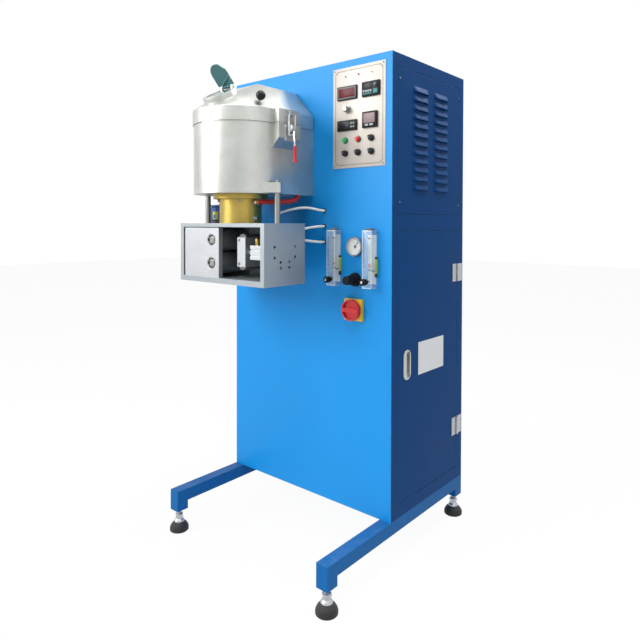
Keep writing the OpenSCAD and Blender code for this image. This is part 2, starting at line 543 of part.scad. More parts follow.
// ---- control panel ----
op_x = [panel_cx - op_pitch, panel_cx, panel_cx + op_pitch];
ops = [[op_x[0], button_z], [op_x[1], button_z], [op_x[2], button_z],
  [op_x[0], select_z], [op_x[1], select_z], [op_x[2], select_z]];
module panel_plate() color("#d9d6cf") place() difference() {
  slab(panel_x0, -panel_t, panel_z0, panel_x1, 0, panel_z1);
  for (q = [meter, keypad, left_box, right_box])
    slab(q[0] - q[5] / 2 - play, -panel_t - e, q[1] - q[6] / 2 - play, q[0] + q[5] / 2 + play, e, q[1] + q[6] / 2 + play);
  for (p = ops) out_y(p[0], e, p[1], barrel_r + play, panel_t + 2 * e);
  for (x = op_x) out_y(x, e, lamp_z, lamp_barrel_r + play, panel_t + 2 * e);
  out_y(pot_x, e, pot_z, pot_shaft_r + play, panel_t + 2 * e);
}
module lamp(x, c) color(c) translate([x, -panel_t, lamp_z]) rotate([90, 0, 0]) rotate_extrude()
  polygon([[0, -lamp_l], [lamp_barrel_r, -lamp_l], [lamp_barrel_r, 0], [lamp_r, 0], [lamp_r, lamp_rim],
    [lens_r, lamp_rim], [lens_r * 0.8, lamp_rim + lens_h * 0.6], [0, lamp_rim + lens_h]]);
module lamps() place() {
  lamp(op_x[0], "#0d7a43");
  lamp(op_x[1], "#8f1f22");
  lamp(op_x[2], "#b9a520");
}
module instrument(q) {
  slab(q[0] - q[2] / 2, -panel_t - q[4], q[1] - q[3] / 2, q[0] + q[2] / 2, -panel_t, q[1] + q[3] / 2);
  slab(q[0] - q[5] / 2, -panel_t, q[1] - q[6] / 2, q[0] + q[5] / 2, q[7], q[1] + q[6] / 2);
}
module instruments() color("#2e3133") place() {
  for (q = [meter, left_box, right_box]) instrument(q);
  difference() {
    instrument(keypad);
    out_y(key_x, 0, key_z, key_shaft_r + fit, 2 * keypad[4]);
  }
  for (p = ops) difference() {
    union() {
      out_y(p[0], -panel_t, p[1], bezel_d / 2, bezel_t);
      out_y(p[0], barrel_l, p[1], barrel_r, barrel_l + panel_t);
    }
    out_y(p[0], actuator_l, p[1], button_d / 2 + fit, actuator_l + panel_t + bezel_t + e);
  }
  difference() {
    out_y(pot_x, pot_body_l, pot_z, pot_body_r, pot_body_l);
    out_y(pot_x, pot_body_l - bezel_t, pot_z, pot_shaft_r + fit, pot_body_l);
  }
}
module button(p) {
  out_y(p[0], button_in, p[1], button_d / 2, button_in + panel_t + bezel_t + button_out - button_rim);
  out_y(p[0], 0, p[1], button_d / 2 - button_rim, panel_t + bezel_t + button_out);
}
module green_button() color("#16a35a") place() button(ops[0]);
module red_button() color("#c5202e") place() button(ops[1]);
module selector(p) {
  y = -panel_t - bezel_t - play;
  out_y(p[0], button_in, p[1], knob_shaft_r, button_in - y);
  out_y(p[0], y, p[1], knob_r, knob_t);
  translate([p[0], y - knob_t, p[1]]) rotate([0, -45, 0])
    slab(-bar_w / 2, -bar_t, -bar_l / 2, bar_w / 2, 0, bar_l / 2);
}
module selector_1() color("#141518") place() selector(ops[2]);
module selector_2() color("#141518") place() selector(ops[3]);
module selector_3() color("#141518") place() selector(ops[4]);
module selector_4() color("#141518") place() selector(ops[5]);
module pot_knob() color("#9a9d9c") place() {
  out_y(pot_x, -panel_t - play, pot_z, skirt_r, skirt_t);
  out_y(pot_x, -panel_t - play - skirt_t, pot_z, pot_r, pot_l);
  out_y(pot_x, pot_body_l - 2 * bezel_t, pot_z, pot_shaft_r, pot_body_l);
}
module keypad_knob() color("#101113") place() {
  out_y(key_x, -panel_t - keypad[4] - play, key_z, key_r, key_l);
  out_y(key_x, -panel_t - play, key_z, key_shaft_r, keypad[4]);
}

// ---- flowmeters, gauge, regulator, isolator ----
module flow_block(x) difference() {
  slab(x - flow_w / 2, -flow_d, flow_z, x + flow_w / 2, 0, flow_z + flow_h);
  up_z(x, -flow_d / 2, flow_z + tube_low, tube_r, flow_h - tube_low - tube_top);
  out_y(x, -flow_d + valve_bore_l, flow_z + valve_up, valve_bore_r, valve_bore_l + e);
}
module flow_blocks() color("#e6edf0") place() for (x = flow_x) {
  flow_block(x);
}
module flow_float(x) color("#c01f35") place()
  up_z(x, -flow_d / 2, flow_z + tube_low + play, float_r, float_h);
module float_left() flow_float(flow_x[0]);
module float_right() flow_float(flow_x[1]);
module flow_knob(x) color("#17181b") place() difference() {
  union() {
    out_y(x, -flow_d - bonnet_t - play, flow_z + valve_up, valve_r, valve_l);
    out_y(x, -flow_d - bonnet_t + stem_in, flow_z + valve_up, valve_stem_r, valve_l);
  }
  for (a = [0:30:330]) translate([x, -flow_d - bonnet_t - valve_l / 4, flow_z + valve_up])
    rotate([0, a, 0]) out_y(valve_r + play, 0, 0, valve_stem_r / 3, valve_l);
}
module flow_knob_left() flow_knob(flow_x[0]);
module flow_knob_right() flow_knob(flow_x[1]);

module gauge_case() color("#cfd3d6") place() difference() {
  union() {
    out_y(face_x, 0, gauge_z, gauge_d / 2, gauge_out);
    out_y(face_x, gauge_can_l, gauge_z, gauge_can_r, gauge_can_l);
  }
  out_y(face_x, -gauge_out + gauge_well, gauge_z, gauge_d / 2 - gauge_lip, gauge_well + e);
  out_y(face_x, gauge_can_l / 2, gauge_z, hub_pin_r + fit, gauge_can_l);
}
module gauge_needle() color("#111214") place()
  translate([face_x, -gauge_out + gauge_well - needle_gap, gauge_z]) rotate([0, needle_deg, 0]) {
    out_y(0, 0, 0, hub_r, needle_t * 2);
    out_y(0, gauge_can_l / 3, 0, hub_pin_r, gauge_can_l / 3);
    slab(-needle_w / 2, -needle_t, -needle_tail, needle_w / 2, 0, needle_l);
  }
module regulator_body() color("#17191d") place() difference() {
  union() {
    out_y(face_x, 0, reg_z, regulator_d / 2, reg_ring_t);
    out_y(face_x, -reg_ring_t, reg_z, bonnet2_r, bonnet2_l);
    out_y(face_x, reg_body_l, reg_z, reg_body_r, reg_body_l);
  }
  out_y(face_x, -reg_ring_t - bonnet2_l + 2 * reg_stem_in, reg_z, reg_stem_r + fit, 3 * reg_stem_in);
}
module regulator_knob() color("#101216") place() difference() {
  y = -reg_ring_t - bonnet2_l;
  union() {
    out_y(face_x, y - play, reg_z, reg_knob_r, reg_knob_l);
    out_y(face_x, y + reg_stem_in, reg_z, reg_stem_r, 2 * reg_stem_in);
  }
  for (a = [0:24:336]) translate([face_x, y - reg_knob_l / 6, reg_z])
    rotate([0, a, 0]) out_y(reg_knob_r + fit, 0, 0, iso_rim_w / 4, reg_knob_l);
}
module isolator_plate() color("#e8c33c") place() difference() {
  union() {
    slab(iso_x - isolator_w / 2, -iso_t, iso_z - isolator_w / 2, iso_x + isolator_w / 2, 0, iso_z + isolator_w / 2);
    out_y(iso_x, -iso_t, iso_z, iso_collar_r, iso_collar_t);
    out_y(iso_x, iso_body_l, iso_z, iso_body_r, iso_body_l);
  }
  out_y(iso_x, -iso_t + iso_stem_in + play, iso_z, iso_stem_r + fit, 2 * iso_stem_in + iso_collar_t);
}
module isolator_handle() color("#c4202a") place() {
  y = -iso_t - iso_collar_t - play;
  out_y(iso_x, y, iso_z, isolator_d / 2, iso_disc_t);
  difference() {
    out_y(iso_x, y, iso_z, isolator_d / 2, iso_disc_t + iso_rim_t);
    out_y(iso_x, y, iso_z, isolator_d / 2 - iso_rim_w, iso_disc_t + iso_rim_t + e);
  }
  slab(iso_x - isolator_d / 2 + iso_rim_w / 2, y - iso_disc_t - iso_bar_t, iso_z - iso_bar_w / 2,
    iso_x + isolator_d / 2 - iso_rim_w / 2, y - iso_disc_t, iso_z + iso_bar_w / 2);
  out_y(iso_x, -iso_t + iso_stem_in, iso_z, iso_stem_r, 2 * iso_stem_in);
}

// small metal fittings: each one is its own solid
module push_in(l) {
  cylinder(r = push_r, h = l);
  translate([0, 0, -push_shank_l]) cylinder(r = push_shank_r, h = push_shank_l + e);
}
module fittings() color("#b9a063") place() {
  for (x = flow_x) {
    up_z(x, -flow_d / 2, flow_z + flow_h, cap_r, cap_t);
    difference() {
      union() {
        out_y(x, -flow_d, flow_z + valve_up, bonnet_r, bonnet_t);
        out_y(x, -flow_d + valve_bore_l - e, flow_z + valve_up, valve_bore_r - fit, valve_bore_l);
      }
      out_y(x, -flow_d + 2 * e, flow_z + valve_up, valve_stem_r + fit, bonnet_t + 4 * e);
    }
  }
  translate([top_push[0], top_push[1], box_z1]) push_in(push_l);
  for (z = rear_push_z) translate([rear_push_x, box_y1, z]) rotate([-90, 0, 0]) push_in(push_l);
  translate([cyl_x0 + 25, -head_y - fork_half + 7, roller_mid_z + cyl_h / 2]) push_in(2 * push_l);
  for (a = [-135, -45, 45, 135]) translate([head_x, -head_y, cool_screw_z]) rotate([0, 0, a])
    rotate([0, 90, 0]) {
      translate([0, 0, cooler_r + play]) cylinder(r = cool_screw_r, h = cool_screw_l);
      translate([0, 0, cooler_r - cool_shank_l]) cylinder(r = cool_shank_r, h = cool_shank_l + cool_screw_l);
    }
  along_x(head_x + cooler_r - port_shank_l, -head_y, port_z, port_shank_r, port_shank_l + port_hex_l);
  translate([head_x + cooler_r + play, -head_y, port_z]) rotate([0, 90, 0]) hexagon(2 * port_hex_r, port_hex_l);
  along_x(head_x + cooler_r + port_hex_l, -head_y, port_z, water_d / 2, port_end_l + 1);
  along_x(head_x + cooler_r - port_shank_l, -head_y, low_port_z, port_shank_r, port_shank_l + port_hex_l / 2);
  for (p = inlets) {
    translate([p[0], cab_d, p[1]]) rotate([-90, 0, 0]) {
      cylinder(r = p[2], h = p[4]);
      cylinder(r = p[2] * 1.3, h = p[4] / 3);
      translate([0, 0, -2 * sheet_t]) cylinder(r = p[3], h = p[4]);
    }
  }
}
module grommets() color("#17181a") place() for (i = [0:2]) difference() {
  union() {
    out_y(hose_x, 0, hose_z0 + i * hose_dz, grommet_r, grommet_t);
    out_y(hose_x, sheet_t, hose_z0 + i * hose_dz, neck_r, sheet_t);
  }
  out_y(hose_x, sheet_t + e, hose_z0 + i * hose_dz, air_d / 2 + play, sheet_t + grommet_t + 2 * e);
}
module hoses() place() {
  color("#e9ebe8") {
    hose(air_top, air_d / 2, [1, 0, 0]);
    hose(air_mid, air_d / 2, [1, 0, 0]);
    hose(air_low, air_d / 2, [1, 0, 0]);
  }
  color("#b8302a") hose(water_run, water_d / 2, [0, 0, 1]);
}

// ---- melting head ----
module lug(s) {
  cx = head_x + s * rod_span / 2;
  wx = head_x + s * (head_r - lug_sink);
  dx = s * (cx - wx);
  t = tangent_share(dx);
  difference() {
    translate([0, 0, lug_z0]) linear_extrude(lug_h) {
      translate([cx, -head_y]) circle(r = lug_r);
      polygon([[wx, -head_y - lug_half], [cx + s * lug_r * t[0], -head_y - lug_r * t[1]],
        [cx + s * lug_r * t[0], -head_y + lug_r * t[1]], [wx, -head_y + lug_half]]);
    }
    up_z(cx, -head_y, lug_z0 - e, rod_screw_r + fit, lug_h + 2 * e);
  }
}
// unit normal of the line from the lug's foot corner to its round end, as [along, across]
function tangent_share(dx) = let (d = norm([dx, lug_half]), p = asin(lug_r / d), q = atan2(lug_half, dx))
  [sin(q - p), cos(q - p)];
module lid_knuckle(y) translate([lid_axis_x, y, lid_axis_z]) rotate([90, 0, 0]) children();
module head_casing() color("#b9bcba") place() {
  difference() {
    union() {
      translate([0, 0, head_z]) linear_extrude(head_h - seam_gap) head_plan(head_r, 0);
      for (s = [-1, 1]) lug(s);
      translate([0, latch_y1, 0]) rotate([90, 0, 0]) linear_extrude(latch_y1 - latch_y0)
        polygon([[head_x + head_r - head_wall, latch_low], [head_x + head_r, latch_low], [latch_x, latch_low + latch_step],
          [latch_x, seam_z - seam_gap], [head_x + head_r - head_wall, seam_z - seam_gap]]);
    }
    translate([0, 0, head_z + floor_plate]) linear_extrude(head_h) head_plan(head_r - head_wall, head_wall);
    up_z(head_x, -head_y, head_z - e, die_r + 2, floor_plate + 2 * e);
    up_z(water_run[water_end][0], water_run[water_end][1], head_z - e, water_d / 2 + hose_room, floor_plate + 2 * e);
    for (s = [0, 1]) out_y(head_x + (2 * s - 1) * lead_dx, e, lead_z[s], lead_hole_r, head_wall + 2 * e);
  }
  for (y = lid_hinge_ys) {
    for (k = [-1, 1]) lid_knuckle(y + k * lid_knuckle_l + lid_knuckle_l / 2) cylinder(r = lid_knuckle_r, h = lid_knuckle_l - play);
    lid_knuckle(y + 3 * lid_knuckle_l / 2) cylinder(r = lid_pin_r, h = 3 * lid_knuckle_l - play);
    for (k = [-1, 1]) slab(lid_axis_x, y + k * lid_knuckle_l - lid_knuckle_l / 2 + play, lid_axis_z - lid_leaf_h,
      head_x - head_r + e, y + k * lid_knuckle_l + lid_knuckle_l / 2, lid_axis_z - lid_pin_r);
  }
}
module crown(r, w, d, y_back, z0, z1) hull() {
  translate([0, 0, z0]) linear_extrude(e) head_plan(r, y_back);
  slab(head_x - w / 2, -d, z1 - e, head_x + w / 2, -y_back, z1);
}
module ball_frame() translate([ball_at[0], ball_at[1], head_z + ball_at[2]]) rotate([0, 0, ball_az])
  rotate([0, ball_tilt, 0]) children();
module head_lid() color("#c2c5c3") place() {
  difference() {
    union() {
      translate([0, 0, seam_z]) linear_extrude(band_h) head_plan(lid_r, lid_back);
      crown(lid_r, crown_w, crown_d, lid_back, band_z - e, crown_z);
      on_slope() translate([0, sight_s, -sight_wall_sink]) cylinder(r = sight_r, h = sight_h + sight_wall_sink);
    }
    translate([0, 0, seam_z - e]) linear_extrude(band_h + e) head_plan(lid_r - head_wall, lid_back + head_wall);
    crown(lid_r - head_wall, crown_w - 2 * head_wall, crown_d - head_wall, lid_back + head_wall,
      band_z - e, crown_z - head_wall);
    on_slope() translate([0, sight_s, -2 * sight_wall_sink]) cylinder(r = window_r, h = 3 * sight_wall_sink + sight_h);
    on_slope() translate([0, sight_s, sight_h - glass_deep]) cylinder(r = glass_r + play, h = glass_deep + e);
  }
  // ears and pin of the sight mirror
  on_slope() translate([0, mirror_s, 0]) {
    for (s = [-1, 1]) translate([s * (knuckle_l / 2 + ear_l / 2 + play) - ear_l / 2, 0, 0]) {
      translate([0, 0, mirror_h]) rotate([0, 90, 0]) cylinder(r = knuckle_r, h = ear_l);
      translate([0, -knuckle_r, sight_h - e]) cube([ear_l, 2 * knuckle_r, mirror_h - sight_h + e]);
    }
    translate([-knuckle_l / 2 - ear_l, 0, mirror_h]) rotate([0, 90, 0]) cylinder(r = mirror_pin_r, h = knuckle_l + 2 * ear_l);
  }
  // stud of the lifting knob, welded to the slope
  ball_frame() {
    translate([0, 0, -ball_r - stem_l]) cylinder(r = stem_r, h = ball_r + stem_l - ball_sink);
    translate([0, 0, -ball_r - stem_l]) cylinder(r = stem_flange_r, h = stem_flange_t);
  }
  // bracket with the latch keeper
  slab(head_x + lid_r - head_wall / 2, latch_y0, seam_z, latch_x, latch_y1, band_z);
  slab(latch_x, clamp_y - catch_w / 2, band_z - catch_up - catch_h, latch_x + catch_out, clamp_y + catch_w / 2, band_z - catch_up - catch_h / 2);
  slab(latch_x + catch_out - catch_t, clamp_y - catch_w / 2, band_z - catch_up - catch_h, latch_x + catch_out, clamp_y + catch_w / 2, band_z - catch_up);
  // hinge leaves
  for (y = lid_hinge_ys) difference() {
    union() {
      lid_knuckle(y + lid_knuckle_l / 2 - play) cylinder(r = lid_knuckle_r, h = lid_knuckle_l - 2 * play);
      slab(head_x - lid_r - lid_leaf_t, y - lid_knuckle_l / 2 + play, lid_axis_z + lid_pin_r,
        head_x - lid_r + e, y + lid_knuckle_l / 2 - play, lid_axis_z + lid_leaf_h);
    }
    lid_knuckle(y + lid_knuckle_l) cylinder(r = lid_pin_r + fit, h = 2 * lid_knuckle_l);
  }
}
module sight_glass() color("#4b8f8d") place()
  on_slope() translate([0, sight_s, sight_h - glass_deep]) cylinder(r = glass_r, h = glass_t);
module lid_knob() color("#141416") place() ball_frame() difference() {
  sphere(r = ball_r);
  translate([0, 0, -ball_r - e]) cylinder(r = stem_r + fit, h = ball_r - ball_sink + e + play);
}
mirror_at = [head_x, -crown_d - mirror_s * cos(slope_deg) - mirror_h * sin(slope_deg),
  crown_z - mirror_s * sin(slope_deg) + mirror_h * cos(slope_deg)];
module sight_mirror() color("#7fa6a6") place() translate(mirror_at) rotate([-mirror_lift, 0, 0])
  difference() {
    union() {
      translate([-knuckle_l / 2, 0, 0]) rotate([0, 90, 0]) cylinder(r = knuckle_r, h = knuckle_l);
      translate([0, 0, -mirror_t / 2]) linear_extrude(mirror_t) {
        translate([-mirror_w / 2, -mirror_l + mirror_w / 2]) square([mirror_w, mirror_l - mirror_w / 2 - mirror_start]);
        translate([0, -mirror_l + mirror_w / 2]) circle(d = mirror_w);
        translate([-knuckle_l / 2, -mirror_w / 2]) square([knuckle_l, mirror_w / 2]);
      }
    }
    translate([-knuckle_l, 0, 0]) rotate([0, 90, 0]) cylinder(r = mirror_pin_r + fit, h = 2 * knuckle_l);
  }

// potted coil with its copper leads, and the graphite crucible with its die
module furnace_core() place() {
  color("#d8cfc0") difference() {
    union() {
      up_z(head_x, -head_y, head_z + floor_plate, core_r, core_h);
      for (s = [0, 1]) out_y(head_x + (2 * s - 1) * lead_dx, lead_in, lead_z[s], lead_r, lead_in + head_y - core_r / 2);
    }
    up_z(head_x, -head_y, head_z + floor_plate + core_floor, pocket_r, core_h);
    up_z(head_x, -head_y, head_z, die_r + play, core_h);
  }
  color("#3a3b3d") difference() {
    union() {
      up_z(head_x, -head_y, head_z + floor_plate + core_floor + play, crucible_r, crucible_h);
      up_z(head_x, -head_y, box_z1 + die_low, die_r, head_z + floor_plate + core_floor - box_z1);
    }
    up_z(head_x, -head_y, head_z + floor_plate + core_floor + crucible_floor, crucible_r - crucible_wall, crucible_h);
    up_z(head_x, -head_y, box_z1, strand_d / 2, head_h);
  }
}
module cooler_housing() color("#c9a54a") place() difference() {
  union() {
    up_z(head_x, -head_y, box_z1, cooler_r, box_drop);
    up_z(head_x, -head_y, head_z - flange_h, flange_r, flange_h);
  }
  up_z(head_x, -head_y, box_z1 - e, die_r + play, box_drop + 2 * e);
  for (a = [-135, -45, 45, 135]) translate([head_x, -head_y, cool_screw_z]) rotate([0, 0, a])
    rotate([0, 90, 0]) translate([0, 0, cooler_r - cool_shank_l - play]) cylinder(r = cool_shank_r + fit, h = cool_shank_l + e + play);
  for (z = [port_z, low_port_z]) along_x(head_x + cooler_r - port_shank_l - play, -head_y, z, port_shank_r + fit, port_shank_l + play + e);
}

// ---- toggle clamp on the right of the head ----
module clamp_base() color("#b4b8bb") place() {
  slab(latch_x, clamp_y - clamp_w / 2, clamp_z0, latch_x + clamp_plate_t, clamp_y + clamp_w / 2, clamp_z0 + clamp_h);
  for (s = [-1, 1]) difference() {
    translate([latch_x, clamp_y + s * (cheek_gap / 2 + cheek_t / 2) - cheek_t / 2, pivot_z - cheek_h / 2])
      cube([cheek_out, cheek_t, cheek_h]);
    translate([pivot_x, clamp_y + 2 * cheek_gap, pivot_z]) rotate([90, 0, 0]) cylinder(r = pivot_r + fit, h = 4 * cheek_gap);
  }
}
link_x = pivot_x - link_dx; link_z = pivot_z - link_dz;
module clamp_handle() place() {
  color("#c8ccd0") {
    translate([pivot_x, clamp_y + cheek_gap / 2 + cheek_t - play, pivot_z]) rotate([90, 0, 0])
      cylinder(r = pivot_r, h = cheek_gap + 2 * cheek_t - 2 * play);
    difference() {
      union() {
        translate([pivot_x, clamp_y + arm_w / 2, pivot_z]) rotate([90, 0, 0]) cylinder(r = 2 * pivot_r, h = arm_w);
        translate([0, clamp_y + arm_w / 2, 0]) rotate([90, 0, 0]) linear_extrude(arm_w)
          polygon([[pivot_x - 2 * pivot_r, pivot_z], [pivot_x + 2 * pivot_r, pivot_z],
            [pivot_x + arm_out + arm_r, pivot_z - link_dz - arm_out],
            [pivot_x + arm_out + arm_r, pivot_z - handle_l + grip_l], [pivot_x + arm_out - arm_r, pivot_z - handle_l + grip_l],
            [pivot_x + arm_out - arm_r, pivot_z - link_dz - arm_out], [pivot_x - 2 * link_dx - arm_r, pivot_z - link_dz - arm_r]]);
      }
      translate([link_x, clamp_y + arm_w, link_z]) rotate([90, 0, 0]) cylinder(r = link_r + fit, h = 2 * arm_w);
    }
  }
  color("#c8232c") translate([pivot_x + arm_out, clamp_y, pivot_z - handle_l]) {
    cylinder(r = grip_r, h = grip_l);
    cylinder(r = grip_r + grip_rim, h = grip_rim);
  }
}
module clamp_hook() color("#c8ccd0") place() {
  for (s = [-1, 1]) up_z(link_x, clamp_y + s * hook_half, link_z - 2 * rod_wire_r, rod_wire_r, hook_l + 3 * rod_wire_r);
  for (z = [link_z, link_z + hook_l]) translate([link_x, clamp_y + hook_half + rod_wire_r, z]) rotate([90, 0, 0])
    cylinder(r = z > link_z ? rod_wire_r : link_r, h = 2 * hook_half + 2 * rod_wire_r);
}

// ---- roller box ----
module tie_rods() color("#d0d2d0") place() for (s = [-1, 1]) translate([head_x + s * rod_span / 2, -head_y, 0]) {
  up_z(0, 0, box_z1, rod_d / 2, lug_z0 - box_z1);
  up_z(0, 0, box_z1, rod_screw_r, lug_z0 + lug_h + rod_head_h / 2 - box_z1);
  up_z(0, 0, lug_z0 + lug_h, rod_head_r, rod_head_h);
}
module roller_box() color("#bfc3c6") place() difference() {
  slab(box_x0, box_y0, box_z0, box_x1, box_y1, box_z1);
  slab(box_x0 + side_t, box_y0 - e, box_z0 + floor_t, box_x1 - side_t, box_y1 - back_t, box_z1 - top_t);
  up_z(head_x, -head_y, box_z0 - e, strand_hole_r, box_h + 2 * e);
  up_z(motor_x, motor_y, box_z1 - top_t - e, motor_hole_r, top_t + 2 * e);
  up_z(top_push[0], top_push[1], box_z1 - push_shank_l - play, push_shank_r + fit, push_shank_l + e + play);
  for (z = rear_push_z) out_y(rear_push_x, box_y1 + e, z, push_shank_r + fit, push_shank_l + 2 * e);
  for (p = side_holes) along_x(box_x1 - side_hole_deep, -head_y + p[0], roller_mid_z + p[1], side_hole_r, side_hole_deep + e);
}
module bearing_blocks() color("#cfd2d1") place() {
  difference() {
    slab(block_x0, front_y0, box_z0 + floor_t, block_x1, front_y1, box_z1 - top_t - block_gap);
    for (z = [upper_z, lower_z]) {
      out_y(drive_x, front_y0 + pocket_deep, z, pocket2_r, pocket_deep + e);
      out_y(drive_x, front_y1 + e, z, shaft_r + fit, front_t + 2 * e);
    }
  }
  difference() {
    slab(block_x0, case_y0, box_z0 + floor_t, block_x1, case_y1, box_z1 - top_t - block_gap);
    for (z = [upper_z, lower_z]) out_y(drive_x, case_y0 + shaft_back + play, z, shaft_r + fit, case_t);
    up_z(motor_x, motor_y, box_z1 - top_t - motor_shaft_l, motor_shaft_r + fit, motor_shaft_l);
  }
}
module drive_roller(z) {
  out_y(drive_x, case_y0 - roller_gap, z, drive_r, case_y0 - front_y1 - 2 * roller_gap);
  out_y(drive_x, case_y0 + shaft_back, z, shaft_r, case_y0 + shaft_back - front_y0 - shaft_end);
  out_y(drive_x, front_y0 + pocket_deep - play, z, collar_r, collar_t);
}
module drive_roller_upper() color("#3c3e41") place() drive_roller(upper_z);
module drive_roller_lower() color("#3c3e41") place() drive_roller(lower_z);
module pinch_fork() color("#d3d5d4") place() difference() {
  union() {
    for (s = [-1, 1]) slab(fork_x0, -head_y + s * (fork_half - cheek2_t / 2) - cheek2_t / 2, roller_mid_z - fork_h / 2,
      fork_x1, -head_y + s * (fork_half - cheek2_t / 2) + cheek2_t / 2, roller_mid_z + fork_h / 2);
    slab(fork_x1 - fork_back, -head_y - fork_half, roller_mid_z - fork_h / 2, fork_x1, -head_y + fork_half, roller_mid_z + fork_h / 2);
    for (s = [-1, 1]) along_x(fork_x1 - e, -head_y + s * guide_dy, roller_mid_z, guide_r, guide_l);
    along_x(fork_x1 - e, -head_y, roller_mid_z, piston_r, guide_l);
  }
  for (z = [upper_z, lower_z]) out_y(pinch_x, 0, z, axle_r + fit, 2 * head_y);
}
module pinch_roller(z) {
  out_y(pinch_x, -head_y + fork_half - cheek2_t - roller_gap, z, pinch_r, 2 * (fork_half - cheek2_t - roller_gap));
  out_y(pinch_x, -head_y + fork_half - roller_gap, z, axle_r, 2 * (fork_half - roller_gap));
}
module pinch_roller_upper() color("#45474a") place() pinch_roller(upper_z);
module pinch_roller_lower() color("#45474a") place() pinch_roller(lower_z);
module pinch_cylinder() color("#d9dcdc") place() difference() {
  union() {
    slab(cyl_x0, -head_y - fork_half, roller_mid_z - cyl_h / 2, cyl_x1, -head_y + fork_half, roller_mid_z + cyl_h / 2);
    slab(valve_x0, -head_y - valve_half, roller_mid_z - cyl_h / 2 - valve_h, cyl_x1, -head_y + valve_half, roller_mid_z);
  }
  for (s = [-1, 1]) along_x(cyl_x0 - e, -head_y + s * guide_dy, roller_mid_z, guide_r + fit, cyl_x1 - cyl_x0 + 2 * e);
  along_x(cyl_x0 - e, -head_y, roller_mid_z, piston_r + fit, cyl_x1 - cyl_x0 + 2 * e);
  for (z = [-1, 1]) slab(cyl_x0 - e, -head_y - fork_half - e, roller_mid_z + z * cyl_h / 5 - slot_w / 2,
    cyl_x1 + e, -head_y - fork_half + slot_d, roller_mid_z + z * cyl_h / 5 + slot_w / 2);
  translate([cyl_x0 + 25, -head_y - fork_half + 7, roller_mid_z + cyl_h / 2 - push_shank_l - play])
    cylinder(r = push_shank_r + fit, h = 2 * push_shank_l);
}
module drive_motor() color("#2a4f8f") place() {
  slab(motor_x - motor_w / 2, motor_y - motor_w / 2, box_z1, motor_x + motor_w / 2, motor_y + motor_w / 2, box_z1 + motor_h);
  up_z(motor_x, motor_y, box_z1 + motor_h, plug_r, plug_h);
  up_z(motor_x, motor_y, box_z1 - motor_shaft_l, motor_shaft_r, motor_shaft_l + e);
}

base_rails();
foot_studs();
foot_pads();
front_panel();
back_wrap();
side_frame();
deck_panels();
vent_panel();
generator();
face_screws();
panel_plate();
lamps();
instruments();
flow_blocks();
fittings();
gauge_case();
regulator_body();
isolator_plate();
grommets();
hoses();
head_casing();
furnace_core();
cooler_housing();
clamp_base();
tie_rods();
roller_box();
bearing_blocks();
pinch_cylinder();
drive_motor();
door_hinge_fixed();
side_door();
door_hinge_moving();
door_pull();
door_plate();
head_lid();
sight_glass();
lid_knob();
sight_mirror();
clamp_handle();
clamp_hook();
isolator_handle();
green_button();
red_button();
selector_1();
selector_2();
selector_3();
selector_4();
pot_knob();
keypad_knob();
flow_knob_left();
flow_knob_right();
float_left();
float_right();
regulator_knob();
gauge_needle();
drive_roller_upper();
drive_roller_lower();
pinch_fork();
pinch_roller_upper();
pinch_roller_lower();
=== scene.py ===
import math
import bmesh
import bpy
from mathutils import Matrix, Vector


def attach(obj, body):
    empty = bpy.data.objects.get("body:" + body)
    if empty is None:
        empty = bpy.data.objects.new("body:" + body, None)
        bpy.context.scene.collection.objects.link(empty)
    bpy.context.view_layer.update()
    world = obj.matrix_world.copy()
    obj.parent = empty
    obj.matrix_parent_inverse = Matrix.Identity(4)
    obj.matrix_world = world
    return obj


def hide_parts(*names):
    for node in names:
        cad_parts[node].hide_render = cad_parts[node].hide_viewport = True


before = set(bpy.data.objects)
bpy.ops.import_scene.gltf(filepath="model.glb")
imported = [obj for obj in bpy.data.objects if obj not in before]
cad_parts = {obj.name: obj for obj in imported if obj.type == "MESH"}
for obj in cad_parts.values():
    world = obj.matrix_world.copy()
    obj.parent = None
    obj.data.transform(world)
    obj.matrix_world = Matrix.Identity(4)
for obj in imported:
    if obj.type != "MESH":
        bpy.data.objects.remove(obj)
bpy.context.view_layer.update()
sceneNow = bpy.context.scene
sceneNow.view_settings.view_transform = "Standard"
mm = 0.001

# millimetres from the cabinet's left front corner, turned into the frame's metres
origin = {"right": 350.0, "back": 70.5}


def at(x, y, z):
    return Vector(((x - origin["right"]) * mm, (y - origin["back"]) * mm, z * mm))


axisX, axisY, axisZ = Vector((1, 0, 0)), Vector((0, 1, 0)), Vector((0, 0, 1))

# camera, floor and lamps
view = {"place": (1668.71, -1454.50, 1047.12), "focal": 578.33, "middle": (325.0, 233.46), "image": 640,
        "sensor": 36.0, "clip": 60, "right": (0.76324, 0.64611, 0.00274), "down": (0.01268, -0.01073, -0.99986),
        "ahead": (-0.64599, 0.76317, -0.01639)}
# each lamp: power, place, aim and size
studio = {"floorWhite": 0.95, "floorReach": 14, "floorPaint": (0.92, 0.92, 0.92, 1), "world": 0.19, "lamps": {
    "keyLamp": (168, (-2.1, -3.6, 2.7), (0, -0.1, 0.85), 2.6), "fillLamp": (8, (3.6, -1.2, 2.4), (0.1, 0, 0.85), 2.4),
    "topLamp": (95, (0.8, -0.9, 4.2), (0, -0.1, 1.0), 2.6), "rimLamp": (70, (0.9, 2.1, 3.6), (0, -0.1, 1.0), 1.6)}}
whiteRays = ("Is Camera Ray", "Is Glossy Ray", "Is Transmission Ray")
# the head's upright axis and the cabinet's right face, in cabinet millimetres
headAxis = (235, -187.5)
sideFace = 700


def putIn(name, data):
    piece = bpy.data.objects.new(name, data)
    sceneNow.collection.objects.link(piece)
    return piece


